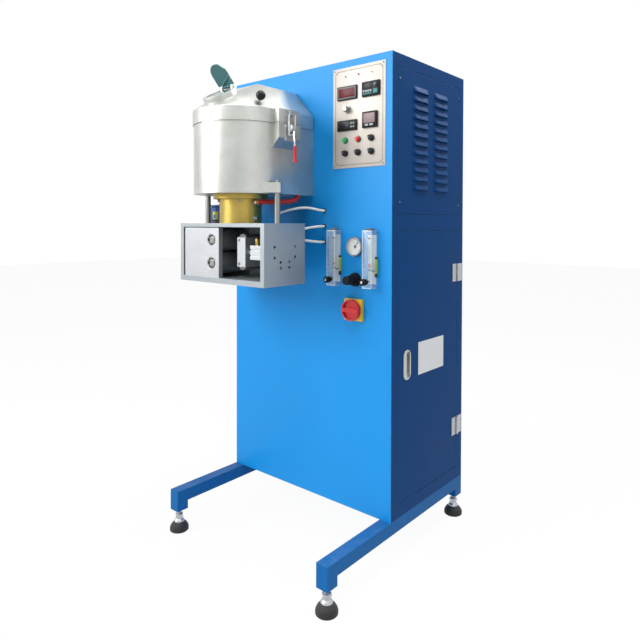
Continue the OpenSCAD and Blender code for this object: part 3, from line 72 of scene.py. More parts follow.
# a node tree whose nodes are added with their links and constants in one call
class Nodes:
    def __init__(self, tree):
        self.tree = tree

    def put(self, socket, value):
        if hasattr(value, "is_output"):
            self.tree.links.new(value, socket)
        else:
            socket.default_value = value

    def add(self, kind, links=None, **settings):
        node = self.tree.nodes.new(kind)
        for key, value in settings.items():
            setattr(node, key, value)
        for label, value in (links or {}).items():
            self.put(node.inputs[label], value)
        return node

    def out(self, kind, links=None, **settings):
        return self.add(kind, links, **settings).outputs[0]

    def math(self, operation, *values, clamp=False):
        return self.out("ShaderNodeMath", dict(enumerate(values)), operation=operation, use_clamp=clamp)

    def noise(self, vector, scale, detail, rough, distortion=0.0):
        return self.add("ShaderNodeTexNoise", {"Vector": vector, "Scale": scale, "Detail": detail, "Roughness": rough,
                                               "Distortion": distortion}).outputs["Fac"]

    def ramp(self, value, low, high):
        return self.add("ShaderNodeMapRange", {"Value": value, "From Min": low, "From Max": high},
                        clamp=True).outputs["Result"]

    def mix(self, factor, a, b):
        return self.add("ShaderNodeMix", {"Factor": factor, "A": a, "B": b}, data_type="RGBA",
                        clamp_factor=True).outputs["Result"]

    def white(self):
        rays = self.add("ShaderNodeLightPath").outputs
        seen = rays[whiteRays[0]]
        for kind in whiteRays[1:]:
            seen = self.math("MAXIMUM", seen, rays[kind])
        return seen


def placeCamera():
    camera = bpy.data.cameras.new("photoCamera")
    camera.sensor_width = view["sensor"]
    camera.lens = view["sensor"] * view["focal"] / view["image"]
    camera.shift_x = (view["image"] / 2 - view["middle"][0]) / view["image"]
    camera.shift_y = (view["middle"][1] - view["image"] / 2) / view["image"]
    camera.clip_end = view["clip"]
    turn = Matrix((view["right"], [-v for v in view["down"]], [-v for v in view["ahead"]])).transposed()
    sceneNow.camera = putIn("photoCamera", camera)
    sceneNow.camera.matrix_world = Matrix.Translation(at(*view["place"])) @ turn.to_4x4()


def lightScene():
    world = bpy.data.worlds.new("paleRoom")
    sceneNow.world = world
    world.use_nodes = True
    nodes = Nodes(world.node_tree)
    grey = studio["world"]
    pick = nodes.mix(nodes.white(), (grey, grey * 1.01, grey * 1.03, 1), (1, 1, 1, 1))
    nodes.put(world.node_tree.nodes["Background"].inputs["Color"], pick)
    for name, (power, place, aim, size) in studio["lamps"].items():
        lamp = bpy.data.lights.new(name, "AREA")
        lamp.energy, lamp.size = power, size
        turn = (Vector(aim) - Vector(place)).to_track_quat("-Z", "Y").to_matrix().to_4x4()
        putIn(name, lamp).matrix_world = Matrix.Translation(place) @ turn


def newMaterial(name):
    material = bpy.data.materials.new(name)
    material.use_nodes = True
    return material, Nodes(material.node_tree), material.node_tree.nodes["Principled BSDF"]


def layFloor():
    mesh = bpy.data.meshes.new("paleFloor")
    reach = studio["floorReach"]
    mesh.from_pydata([(-reach, -reach, 0), (reach, -reach, 0), (reach, reach, 0), (-reach, reach, 0)], [],
        [(0, 1, 2, 3)])
    material, nodes, shader = newMaterial("paleFloor")
    shader.inputs["Base Color"].default_value = studio["floorPaint"]
    shader.inputs["Roughness"].default_value = 0.9
    share = nodes.math("MULTIPLY", nodes.white(), studio["floorWhite"])
    glow = nodes.out("ShaderNodeEmission")
    blend = nodes.out("ShaderNodeMixShader", {0: share, 1: shader.outputs[0], 2: glow})
    nodes.put(material.node_tree.nodes["Material Output"].inputs["Surface"], blend)
    mesh.materials.append(material)
    putIn("paleFloor", mesh)


placeCamera()
lightScene()
layFloor()
print("stage: camera, lamps and floor")


# shader groups that the finishes share: they give masks and values only
def newGroup(name, inputs, outputs):
    group = bpy.data.node_groups.new(name, "ShaderNodeTree")
    for label, value in inputs.items():
        kind = "NodeSocketVector" if isinstance(value, tuple) else "NodeSocketFloat"
        group.interface.new_socket(label, in_out="INPUT", socket_type=kind).default_value = value
    for label in outputs:
        group.interface.new_socket(label, in_out="OUTPUT", socket_type="NodeSocketFloat")
    return Nodes(group), group.nodes.new("NodeGroupInput").outputs, group.nodes.new("NodeGroupOutput").inputs


def buildGrain():
    nodes, taken, given = newGroup("surfaceGrain", {"Vector": (0, 0, 0), "Fine Scale": 900.0, "Stretch": (1, 1, 1),
                                                    "Broad Scale": 6.0, "Broad Share": 0.4}, ("Value", "Height"))
    stretch = nodes.out("ShaderNodeVectorMath", {0: taken["Vector"], 1: taken["Stretch"]}, operation="MULTIPLY")
    fine = nodes.noise(stretch, taken["Fine Scale"], 2.0, 0.6)
    broad = nodes.noise(taken["Vector"], taken["Broad Scale"], 4.0, 0.6, 0.3)
    part = nodes.math("MULTIPLY", nodes.math("SUBTRACT", broad, 0.5), taken["Broad Share"])
    nodes.put(given["Value"], nodes.math("ADD", fine, part, clamp=True))
    nodes.put(given["Height"], fine)
    return nodes.tree


def buildScuff():
    nodes, taken, given = newGroup("scuffMarks", {"Vector": (0, 0, 0), "Scale": 30.0, "Reach": 0.30}, ("Mask",))
    long = nodes.out("ShaderNodeVectorMath", {0: taken["Vector"], 1: (1.0, 1.0, 0.22)}, operation="MULTIPLY")
    marks = nodes.noise(long, taken["Scale"], 6.0, 0.72, 0.6)
    both = nodes.math("MULTIPLY", marks, nodes.noise(taken["Vector"], 5.0, 2.0, 0.5))
    over = nodes.math("SUBTRACT", both, nodes.math("SUBTRACT", 0.62, taken["Reach"]))
    nodes.put(given["Mask"], nodes.math("MULTIPLY", over, 9.0, clamp=True))
    return nodes.tree


# lighter tint where a surface rounds over an edge: partly edge wear, partly a painted highlight on the edges
def buildEdge():
    nodes, taken, given = newGroup("edgeWearAndHighlight", {"Radius Share": 0.5}, ("Mask",))
    worn = nodes.out("ShaderNodeBevel", {"Radius": 0.0015}, samples=4)
    flat = nodes.add("ShaderNodeNewGeometry").outputs["Normal"]
    dot = nodes.add("ShaderNodeVectorMath", {0: worn, 1: flat}, operation="DOT_PRODUCT").outputs["Value"]
    turned = nodes.math("SUBTRACT", 1.0, dot)
    nodes.put(given["Mask"], nodes.math("DIVIDE", turned, taken["Radius Share"], clamp=True))
    return nodes.tree


def buildDust():
    nodes, taken, given = newGroup("settledDust", {"Vector": (0, 0, 0), "Amount": 0.3}, ("Mask",))
    facing = nodes.add("ShaderNodeNewGeometry").outputs["Normal"]
    upward = nodes.ramp(nodes.add("ShaderNodeSeparateXYZ", {0: facing}).outputs["Z"], 0.5, 1.0)
    spread = nodes.ramp(nodes.noise(taken["Vector"], 14.0, 5.0, 0.6, 0.4), 0.35, 0.75)
    nodes.put(given["Mask"], nodes.math("MULTIPLY", nodes.math("MULTIPLY", upward, spread), taken["Amount"]))
    return nodes.tree


grainGroup, scuffGroup, edgeWearAndHighlightGroup, dustGroup = buildGrain(), buildScuff(), buildEdge(), buildDust()
dustColour = (168, 166, 160)


def linear(colour):
    def one(v):
        v = v / 255
        return v / 12.92 if v <= 0.04045 else ((v + 0.055) / 1.055) ** 2.4
    return tuple(one(v) for v in colour) + (1,)


finishDefaults = {
    "stretch": (1, 1, 1), "broadShare": 0.5, "bump": (0.05, 0.0004), "edge": 0.0, "edgeColour": None, "scuff": 0.0,
    "scuffColour": None, "dust": 0.0, "round": 0.0, "metal": 0.0, "coat": 0.0, "coatRough": 0.12, "specular": 0.5,
    "sheen": 0.0, "glass": 0.0, "ior": 1.45, "alpha": 1.0}
shaderSockets = {"metal": "Metallic", "coat": "Coat Weight", "coatRough": "Coat Roughness", "sheen": "Sheen Weight",
                 "specular": "Specular IOR Level", "ior": "IOR", "glass": "Transmission Weight", "alpha": "Alpha"}


# colour is 0-255; tones are its dark and pale share; rough is lowest and highest; bump is strength and metres
def makeFinish(name, colour, tones, rough, fine, broad=5.0, **changes):
    s = {**finishDefaults, **changes}
    material, nodes, shader = newMaterial(name)
    place = nodes.add("ShaderNodeTexCoord").outputs["Object"]

    def group(tree, links):
        return nodes.add("ShaderNodeGroup", links, node_tree=tree).outputs

    def toned(key, gain, lift):
        return linear(s[key] or [min(255, c * gain + lift) for c in colour])

    grain = group(grainGroup, {"Vector": place, "Fine Scale": fine, "Stretch": s["stretch"], "Broad Scale": broad,
                               "Broad Share": s["broadShare"]})
    base = linear(colour)
    dark, pale = [tuple(min(1, c * tone) for c in base[:3]) + (1,) for tone in tones]
    shown = nodes.mix(nodes.ramp(grain["Value"], 0.2, 0.8), dark, pale)
    spread = nodes.math("MULTIPLY", nodes.ramp(grain["Value"], 0.15, 0.85), rough[1] - rough[0])
    matt = nodes.math("ADD", spread, rough[0])
    if s["scuff"]:
        mask = group(scuffGroup, {"Vector": place, "Scale": 30.0, "Reach": s["scuff"]})["Mask"]
        shown = nodes.mix(mask, shown, toned("scuffColour", 1.25, 18))
        matt = nodes.math("ADD", matt, nodes.math("MULTIPLY", mask, 0.15), clamp=True)
    # edges lightened: partly wear, partly painted highlight
    if s["edge"]:
        mask = group(edgeWearAndHighlightGroup, {"Radius Share": 0.35})["Mask"]
        shown = nodes.mix(nodes.math("MULTIPLY", mask, s["edge"]), shown, toned("edgeColour", 1.2, 14))
    if s["dust"]:
        mask = group(dustGroup, {"Vector": place, "Amount": s["dust"]})["Mask"]
        shown = nodes.mix(mask, shown, linear(dustColour))
        matt = nodes.math("ADD", matt, nodes.math("MULTIPLY", mask, 0.4), clamp=True)
    bump = nodes.add("ShaderNodeBump",
        {"Strength": s["bump"][0], "Distance": s["bump"][1], "Height": grain["Height"]})
    if s["round"]:
        soft = nodes.out("ShaderNodeBevel", {"Radius": s["round"] * mm}, samples=4)
        nodes.put(bump.inputs["Normal"], soft)
    for label, value in (("Base Color", shown), ("Roughness", matt), ("Normal", bump.outputs["Normal"])):
        nodes.put(shader.inputs[label], value)
    for key, label in shaderSockets.items():
        shader.inputs[label].default_value = s[key]
    material.diffuse_color = base
    return material


bluePaint = makeFinish("bluePowderCoat", (14, 142, 218), (0.93, 1.05), (0.36, 0.5), 1500, 3.2, specular=0.3,
    broadShare=0.7, bump=(0.1, 0.0003), edge=0.35, edgeColour=(92, 170, 228), scuff=0.17,
    scuffColour=(84, 158, 214), dust=0.12, round=1.6)
# painted shade: the right side's sheets take the front's blue powder coat, darkened for the shade that falls on that
# side
shadedSidePaint = makeFinish("bluePowderCoatShadedSide", (2, 64, 122), (0.9, 1.06), (0.4, 0.55), 1500, 3.0, specular=0.08,
    broadShare=0.8, bump=(0.1, 0.0003), edge=0.5, edgeColour=(80, 156, 214), scuff=0.17, scuffColour=(66, 140, 200),
    round=1.2)
# painted shade: the base rails take the front's blue powder coat, darkened to a middle tone between the lit front and
# the shaded side
shadedRailPaint = makeFinish("bluePowderCoatRailShaded", (6, 98, 164), (0.9, 1.05), (0.38, 0.52), 1500, 3.4, specular=0.14,
    broadShare=0.7, bump=(0.1, 0.0003), edge=0.4, edgeColour=(70, 160, 220), scuff=0.18, scuffColour=(60, 140, 204),
    dust=0.15, round=1.6)
castAluminium = makeFinish("satinAluminium", (198, 200, 195), (0.8, 1.06), (0.3, 0.46), 1100, 9, metal=0.86,
    stretch=(1, 1, 0.25), broadShare=1.1, bump=(0.14, 0.00025), scuff=0.17, scuffColour=(206, 208, 205), edge=0.4,
    edgeColour=(222, 223, 220), round=0.8)
milledAluminium = makeFinish("milledAluminium", (196, 199, 202), (0.86, 1.05), (0.28, 0.45), 700, 9, metal=0.8,
    stretch=(0.12, 1, 1), broadShare=0.4, bump=(0.12, 0.0002), scuff=0.18, edge=0.5, edgeColour=(228, 230, 232),
    round=0.7)
boxAluminium = makeFinish("anodisedBox", (162, 170, 174), (0.92, 1.04), (0.34, 0.46), 1500, 4, metal=0.62,
    broadShare=0.4, bump=(0.08, 0.0002), scuff=0.17, edge=0.6, edgeColour=(226, 228, 230), round=1.0)
turnedBrass = makeFinish("turnedBrass", (190, 166, 86), (0.72, 1.1), (0.26, 0.44), 220, 16, metal=0.85,
    stretch=(0.5, 0.5, 9), broadShare=0.9, bump=(0.25, 0.0003), scuff=0.2, scuffColour=(150, 112, 60), edge=0.4,
    edgeColour=(226, 196, 122), round=0.6)
polishedSteel = makeFinish("polishedSteel", (156, 157, 152), (0.8, 1.04), (0.26, 0.4), 900, 20, metal=0.75,
    stretch=(1, 1, 0.1), bump=(0.06, 0.0001), scuff=0.15, round=0.4)
zincSteel = makeFinish("zincPlate", (190, 193, 196), (0.8, 1.08), (0.28, 0.5), 500, 60, metal=0.9, broadShare=0.9,
    bump=(0.1, 0.0002), scuff=0.18, scuffColour=(150, 148, 142), round=0.4)
chromed = makeFinish("chromed", (214, 216, 218), (0.92, 1.02), (0.06, 0.16), 600, 12, metal=1.0,
    bump=(0.03, 0.0001), scuff=0.14, round=0.5)
blackRubber = makeFinish("blackRubber", (30, 30, 32), (0.75, 1.35), (0.55, 0.8), 900, 22, broadShare=0.9,
    bump=(0.25, 0.0006), dust=0.35, scuff=0.2, scuffColour=(78, 76, 72), sheen=0.1, round=1.2)
blackPlastic = makeFinish("blackPlastic", (22, 23, 26), (0.8, 1.3), (0.32, 0.5), 1800, 25, specular=0.22,
    bump=(0.18, 0.0002), scuff=0.13, scuffColour=(70, 70, 72), round=0.5)
glossBlack = makeFinish("glossBlack", (10, 10, 12), (0.8, 1.3), (0.16, 0.26), 700, 30, bump=(0.03, 0.0001),
    specular=0.35)
screenGlass = makeFinish("dimScreen", (30, 30, 38), (0.8, 1.15), (0.2, 0.3), 1500, 30, bump=(0.02, 0.0001),
    specular=0.2)
redScreen = makeFinish("redScreen", (96, 22, 28), (0.75, 1.2), (0.2, 0.3), 1500, 30, bump=(0.02, 0.0001),
    specular=0.2)
roseScreen = makeFinish("roseScreen", (150, 128, 130), (0.8, 1.08), (0.25, 0.35), 1200, 90, broadShare=0.9,
    bump=(0.02, 0.0001), specular=0.25)
tealKeys = makeFinish("tealKeys", (40, 132, 132), (0.85, 1.1), (0.4, 0.55), 1600, 40, bump=(0.1, 0.0001), round=0.3)
paleKeys = makeFinish("paleKeys", (168, 176, 178), (0.88, 1.05), (0.4, 0.55), 1600, 40, bump=(0.1, 0.0001),
    round=0.3)
greyPlastic = makeFinish("greyPlastic", (96, 98, 98), (0.88, 1.08), (0.4, 0.55), 1800, 30, bump=(0.14, 0.0002),
    round=0.4)
redPlastic = makeFinish("redPlastic", (206, 34, 38), (0.88, 1.08), (0.26, 0.4), 1500, 26, bump=(0.06, 0.0002),
    scuff=0.14, scuffColour=(232, 110, 104), edge=0.3, edgeColour=(238, 92, 84), coat=0.25, round=0.8)
greenPlastic = makeFinish("greenPlastic", (22, 168, 92), (0.88, 1.08), (0.22, 0.35), 1500, 26, bump=(0.05, 0.0002),
    coat=0.35, round=0.5)
yellowPlastic = makeFinish("yellowPlastic", (240, 196, 52), (0.92, 1.03), (0.3, 0.42), 1500, 20,
    bump=(0.06, 0.0002), scuff=0.13, coat=0.2, round=0.9)
gripRed = makeFinish("dippedGrip", (204, 26, 36), (0.85, 1.1), (0.3, 0.45), 900, 30, bump=(0.14, 0.0003),
    scuff=0.16, scuffColour=(226, 108, 108), coat=0.3, coatRough=0.2)
panelMetal = makeFinish("panelMetal", (196, 189, 181), (0.93, 1.02), (0.36, 0.5), 900, 6, metal=0.2,
    stretch=(0.1, 1, 1), broadShare=0.5, bump=(0.08, 0.0001), round=0.5)
engraved = makeFinish("engravedInk", (34, 34, 36), (0.85, 1.15), (0.5, 0.65), 1500, 40)
whitePlate = makeFinish("blankPlate", (226, 230, 232), (0.95, 1.01), (0.35, 0.5), 1200, 10, bump=(0.04, 0.0001),
    scuff=0.14, scuffColour=(196, 200, 202), round=0.4)
dialWhite = makeFinish("dialWhite", (238, 238, 234), (0.97, 1.01), (0.5, 0.6), 900, 20)
hoseWhite = makeFinish("whiteTube", (228, 230, 226), (0.93, 1.02), (0.28, 0.4), 600, 24, bump=(0.04, 0.0002),
    coat=0.2, scuff=0.14, scuffColour=(196, 194, 184))
hoseRed = makeFinish("redHose", (190, 44, 38), (0.82, 1.08), (0.4, 0.58), 700, 26, bump=(0.16, 0.0003), scuff=0.16,
    scuffColour=(208, 96, 84), dust=0.25)
clearAcrylic = makeFinish("clearAcrylic", (226, 238, 242), (0.97, 1.02), (0.05, 0.12), 400, 12, bump=(0.01, 0.0001),
    alpha=0.28, specular=0.9, round=1.2)
paneGlass = makeFinish("tintedPane", (120, 176, 170), (0.94, 1.03), (0.03, 0.07), 400, 12, bump=(0.01, 0.0001),
    glass=0.8)
darkGraphite = makeFinish("graphite", (52, 52, 54), (0.7, 1.3), (0.5, 0.7), 600, 20, metal=0.15, bump=(0.2, 0.0003),
    round=0.8)
refractory = makeFinish("castRefractory", (206, 198, 184), (0.8, 1.06), (0.8, 0.95), 300, 14, broadShare=0.9,
    bump=(0.5, 0.001), scuff=0.24, scuffColour=(120, 106, 90))
rollerFace = makeFinish("groundRoller", (122, 124, 126), (0.72, 1.25), (0.26, 0.48), 260, 14, metal=0.55,
    stretch=(1, 6, 1), broadShare=0.8, bump=(0.1, 0.0002), scuff=0.2, scuffColour=(120, 122, 124), round=1.0)
motorBlue = makeFinish("motorBlue", (42, 82, 148), (0.86, 1.08), (0.34, 0.5), 1200, 14, bump=(0.12, 0.0003),
    scuff=0.16, edge=0.4, round=1.0)
copperTube = makeFinish("copperTube", (190, 112, 72), (0.75, 1.12), (0.24, 0.45), 300, 24, metal=0.95,
    broadShare=0.9, bump=(0.1, 0.0002))
stripYellow = makeFinish("stripYellow", (214, 214, 70), (0.92, 1.04), (0.4, 0.5), 900, 30)
caseGrey = makeFinish("caseGrey", (184, 188, 190), (0.92, 1.03), (0.4, 0.55), 1400, 5, bump=(0.1, 0.0003),
    scuff=0.16, edge=0.4, dust=0.3, round=1.2)
darkSteel = makeFinish("darkSteel", (70, 72, 74), (0.8, 1.15), (0.3, 0.45), 900, 30, metal=0.6, bump=(0.05, 0.0001),
    round=0.3)
mirrorGlass = makeFinish("mirrorGlass", (74, 116, 118), (0.85, 1.08), (0.05, 0.12), 700, 26, metal=0.85,
    bump=(0.02, 0.0001), edge=0.5, edgeColour=(226, 232, 230))
clearLens = makeFinish("clearLens", (236, 242, 244), (0.98, 1.01), (0.03, 0.08), 500, 12, bump=(0.01, 0.0001),
    alpha=0.14, specular=0.9)
lensGreen = makeFinish("lensGreen", (16, 120, 66), (0.85, 1.15), (0.1, 0.2), 900, coat=0.6)
lensRed = makeFinish("lensRed", (140, 26, 30), (0.85, 1.15), (0.1, 0.2), 900, coat=0.6)
lensYellow = makeFinish("lensYellow", (186, 164, 34), (0.85, 1.15), (0.1, 0.2), 900, coat=0.6)
scaleWhite = makeFinish("scaleWhite", (206, 220, 226), (0.96, 1.02), (0.3, 0.4), 900, 20)
# painted highlight: white for the strips along the flow blocks' edges
edgeHighlightWhite = makeFinish("edgeHighlightWhite", (236, 242, 244), (0.95, 1.02), (0.3, 0.45), 900, 20)
paleBlue = makeFinish("blankBluePlate", (44, 104, 176), (0.92, 1.04), (0.35, 0.5), 1200, 20)
print("finishes:", len(bpy.data.materials))


# ways of making a piece
def meshOf(shape, name):
    mesh = bpy.data.meshes.new(name)
    shape.to_mesh(mesh)
    shape.free()
    return mesh


def pour(target, part, slot=0):
    for face in part.faces:
        face.material_index = slot
    mesh = meshOf(part, "pouring")
    target.from_mesh(mesh)
    bpy.data.meshes.remove(mesh)


def pointMap(place, out, across):
    out, across = Vector(out).normalized(), Vector(across).normalized()
    up = out.cross(across)
    return lambda a, b, c: place + (across * a + up * b + out * c) * mm


def addBlock(shape, low, high, soft=0.6, slot=0, steps=2):
    part = bmesh.new()
    a, b = at(*low), at(*high)
    corners = [part.verts.new((x, y, z)) for x in (a.x, b.x) for y in (a.y, b.y) for z in (a.z, b.z)]
    for ring in ((0, 1, 3, 2), (4, 6, 7, 5), (0, 4, 5, 1), (2, 3, 7, 6), (0, 2, 6, 4), (1, 5, 7, 3)):
        part.faces.new([corners[i] for i in ring])
    bmesh.ops.recalc_face_normals(part, faces=part.faces)
    if soft:
        bmesh.ops.bevel(part, geom=part.edges[:], offset=soft * mm, segments=steps, profile=0.5, affect="EDGES",
                        clamp_overlap=True)
    pour(shape, part, slot)


def addTurned(shape, place, out, profile, steps=48, slot=0):
    out = Vector(out).normalized()
    side = out.cross(axisZ if abs(out.z) < 0.9 else axisX).normalized()
    other = out.cross(side)
    part = bmesh.new()
    rings = []
    for radius, height in profile:
        centre = place + out * height * mm
        turns = [2 * math.pi * i / steps for i in range(steps)]
        rings.append([part.verts.new(centre + (side * math.cos(t) + other * math.sin(t)) * radius * mm)
                      for t in turns] if radius > 0 else [part.verts.new(centre)])
    for low, high in zip(rings, rings[1:]):
        for i in range(steps):
            j = (i + 1) % steps
            if len(low) == 1 and len(high) > 1:
                part.faces.new((low[0], high[i], high[j]))
            elif len(high) == 1 and len(low) > 1:
                part.faces.new((low[i], high[0], low[j]))
            elif len(low) > 1:
                part.faces.new((low[i], high[i], high[j], low[j]))
    for ring in (rings[0], rings[-1]):
        if len(ring) > 1 and profile[0] != profile[-1]:
            part.faces.new(ring)
    bmesh.ops.remove_doubles(part, verts=part.verts, dist=1e-7)
    bmesh.ops.recalc_face_normals(part, faces=part.faces)
    pour(shape, part, slot)


def softProfile(radius, length, soft):
    turns = [math.radians(t) for t in (0, 30, 60, 90)]
    rim = [(radius - soft + soft * math.sin(t), soft - soft * math.cos(t)) for t in turns]
    top = [(radius - soft + soft * math.cos(t), length - soft + soft * math.sin(t)) for t in turns]
    return [(0, 0)] + rim + top + [(0, length)]


# closed section of a plain ring
def bandOf(inner, outer, height):
    return [(inner, 0), (outer, 0), (outer, height), (inner, height), (inner, 0)]


def addPrism(shape, outline, place, out, across, depth, soft=0.0, slot=0, steps=2):
    spot = pointMap(place, out, across)
    part = bmesh.new()
    low = [part.verts.new(spot(a, b, 0)) for a, b in outline]
    high = [part.verts.new(spot(a, b, depth)) for a, b in outline]
    part.faces.new(low)
    part.faces.new(high)
    for i in range(len(outline)):
        j = (i + 1) % len(outline)
        part.faces.new((low[i], low[j], high[j], high[i]))
    bmesh.ops.recalc_face_normals(part, faces=part.faces)
    if soft:
        rims = [e for e in part.edges if len(e.link_faces) == 2 and e.calc_face_angle(0) > 0.6]
        bmesh.ops.bevel(part, geom=rims, offset=soft * mm, segments=steps, profile=0.5, affect="EDGES",
            clamp_overlap=True)
    pour(shape, part, slot)


def arcPoints(cx, cy, radius, start, end, count):
    return [(cx + radius * math.cos(math.radians(start + (end - start) * i / count)),
             cy + radius * math.sin(math.radians(start + (end - start) * i / count))) for i in range(count + 1)]


def asMesh(obj):
    graph = bpy.context.evaluated_depsgraph_get()
    mesh = bpy.data.meshes.new_from_object(obj.evaluated_get(graph), depsgraph=graph)
    old = obj.data
    obj.modifiers.clear()
    obj.data = mesh
    if old.users == 0:
        bpy.data.meshes.remove(old)
    return obj


def closeShape(shape, name, finishes, body="frame", instead=(), sharp=32):
    mesh = meshOf(shape, name)
    for finish in finishes:
        mesh.materials.append(finish)
    settle(putIn(name, mesh), body, instead, sharp)


def settle(piece, body, instead, sharp):
    piece.data.shade_smooth()
    piece.data.set_sharp_from_angle(angle=math.radians(sharp))
    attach(piece, body)
    if instead:
        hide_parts(*instead)


def giveTree(piece, tree, values):
    modifier = piece.modifiers.new("grow", "NODES")
    modifier.node_group = tree
    for item in tree.interface.items_tree:
        if item.item_type == "SOCKET" and item.in_out == "INPUT" and item.name in values:
            modifier[item.identifier] = values[item.name]
    bpy.context.view_layer.update()


def grow(name, mesh, tree, values, body="frame", instead=(), sharp=35):
    piece = putIn(name, mesh)
    giveTree(piece, tree, values)
    settle(asMesh(piece), body, instead, sharp)


# a tree's copies at spots, each with its place and the way that it faces
def scatter(name, spots, tree, values, body="frame", instead=()):
    mesh = bpy.data.meshes.new(name)
    mesh.from_pydata([tuple(place) for place, facing in spots], [], [])
    facing = mesh.attributes.new("facing", "FLOAT_VECTOR", "POINT")
    for i, (place, direction) in enumerate(spots):
        facing.data[i].vector = Vector(direction).normalized()
    grow(name, mesh, tree, values, body, instead)


def drawTicks(name, spots, values):
    mesh = bpy.data.meshes.new(name)
    mesh.from_pydata([tuple(place) for place, turn, stretch in spots], [], [])
    for label, k in (("turning", 1), ("longer", 2)):
        mesh.attributes.new(label, "FLOAT_VECTOR", "POINT")
        for i, spot in enumerate(spots):
            mesh.attributes[label].data[i].vector = spot[k]
    grow(name, mesh, tickTree, dict(values, Finish=engraved))


# geometry node trees for what repeats
class Tree(Nodes):
    def __init__(self, name, sizes):
        super().__init__(bpy.data.node_groups.new(name, "GeometryNodeTree"))
        for way in ("INPUT", "OUTPUT"):
            self.tree.interface.new_socket("Geometry", in_out=way, socket_type="NodeSocketGeometry")
        kinds = {int: "NodeSocketInt", float: "NodeSocketFloat"}
        for label, value in sizes.items():
            kind = kinds.get(type(value), "NodeSocketObject")
            socket = self.tree.interface.new_socket(label, in_out="INPUT", socket_type=kind)
            if value is not None:
                socket.default_value = value
        self.tree.interface.new_socket("Finish", in_out="INPUT", socket_type="NodeSocketMaterial")
        self.taken = self.tree.nodes.new("NodeGroupInput").outputs
        self.sizes = [self.taken[label] for label in sizes]
        self.points = self.taken["Geometry"]

    def xyz(self, **parts):
        return self.out("ShaderNodeCombineXYZ", parts)

    def read(self, label):
        return self.add("GeometryNodeInputNamedAttribute", {"Name": label},
            data_type="FLOAT_VECTOR").outputs["Attribute"]

    def spread(self, instance):
        aim = self.out("FunctionNodeAlignRotationToVector", {"Vector": self.read("facing")}, axis="Z")
        return self.close(self.out("GeometryNodeInstanceOnPoints", {"Points": self.points, "Instance": instance,
                                                                    "Rotation": aim}))

    def close(self, geometry):
        real = self.out("GeometryNodeRealizeInstances", {"Geometry": geometry})
        painted = self.out("GeometryNodeSetMaterial", {"Geometry": real, "Material": self.taken["Finish"]})
        self.put(self.tree.nodes.new("NodeGroupOutput").inputs[0], painted)
        return self.tree


def buildScrewTree():
    t = Tree("capScrews", {"Head Radius": 0.004, "Head Height": 0.003, "Socket Radius": 0.002,
        "Socket Depth": 0.0015})
    radius, height, socket, depth = t.sizes
    outer = t.out("GeometryNodeMeshCylinder", {"Vertices": 28, "Radius": radius, "Depth": height})
    head = t.out("GeometryNodeTransform",
        {"Geometry": outer, "Translation": t.xyz(Z=t.math("MULTIPLY", height, 0.5))})
    inner = t.out("GeometryNodeMeshCylinder",
        {"Vertices": 6, "Radius": socket, "Depth": t.math("MULTIPLY", depth, 2.0)})
    tool = t.out("GeometryNodeTransform", {"Geometry": inner, "Translation": t.xyz(Z=height)})
    return t.spread(t.out("GeometryNodeMeshBoolean", {"Mesh 1": head, "Mesh 2": tool}, operation="DIFFERENCE"))


def buildPanTree():
    t = Tree("panScrews", {"Head Radius": 0.003, "Head Height": 0.0015, "Slot Width": 0.0008})
    radius, height, width = t.sizes
    ball = t.out("GeometryNodeMeshUVSphere", {"Segments": 24, "Rings": 12, "Radius": radius})
    squash = t.xyz(X=1.0, Y=1.0, Z=t.math("DIVIDE", height, radius))
    dome = t.out("GeometryNodeTransform", {"Geometry": ball, "Scale": squash})
    length = t.math("MULTIPLY", radius, 1.3)
    bars = [t.out("GeometryNodeMeshCube", {"Size": t.xyz(X=x, Y=y, Z=height)}) for x,
        y in ((length, width), (width, length))]
    cross = t.add("GeometryNodeMeshBoolean", operation="UNION")
    for bar in bars:
        t.put(cross.inputs["Mesh 2"], bar)
    raised = t.out("GeometryNodeTransform", {"Geometry": cross.outputs[0], "Translation": t.xyz(Z=height)})
    return t.spread(t.out("GeometryNodeMeshBoolean", {"Mesh 1": dome, "Mesh 2": raised}, operation="DIFFERENCE"))


def buildRibTree():
    t = Tree("ribsRound", {"Ribs": 24, "Ring Radius": 0.01, "Rib Length": 0.01, "Rib Radius": 0.0006})
    count, radius, length, width = t.sizes
    ring = t.out("GeometryNodeMeshCircle", {"Vertices": count, "Radius": radius})
    rib = t.out("GeometryNodeMeshCylinder", {"Vertices": 8, "Radius": width, "Depth": length})
    many = t.out("GeometryNodeInstanceOnPoints", {"Points": ring, "Instance": rib})
    return t.spread(t.out("GeometryNodeRealizeInstances", {"Geometry": many}))


def buildTickTree():
    t = Tree("scaleTicks", {"Tick Length": 0.004, "Tick Width": 0.0004, "Tick Height": 0.0002})
    wide, thick, tall = t.sizes
    bar = t.out("GeometryNodeMeshCube", {"Size": t.xyz(X=wide, Y=thick, Z=tall)})
    return t.close(t.out("GeometryNodeInstanceOnPoints",
        {"Points": t.points, "Instance": bar, "Rotation": t.read("turning"), "Scale": t.read("longer")}))


def buildHoseTree():
    t = Tree("hoseSweep", {"Hose Radius": 0.004, "Sides": 20, "Ring Spacing": 0.003})
    radius, sides, pitch = t.sizes
    line = t.out("GeometryNodeResampleCurve", {"Curve": t.points, "Length": pitch}, mode="LENGTH")
    edge = t.out("GeometryNodeCurvePrimitiveCircle", {"Resolution": sides, "Radius": radius}, mode="RADIUS")
    return t.close(t.out("GeometryNodeCurveToMesh", {"Curve": line, "Profile Curve": edge, "Fill Caps": True}))


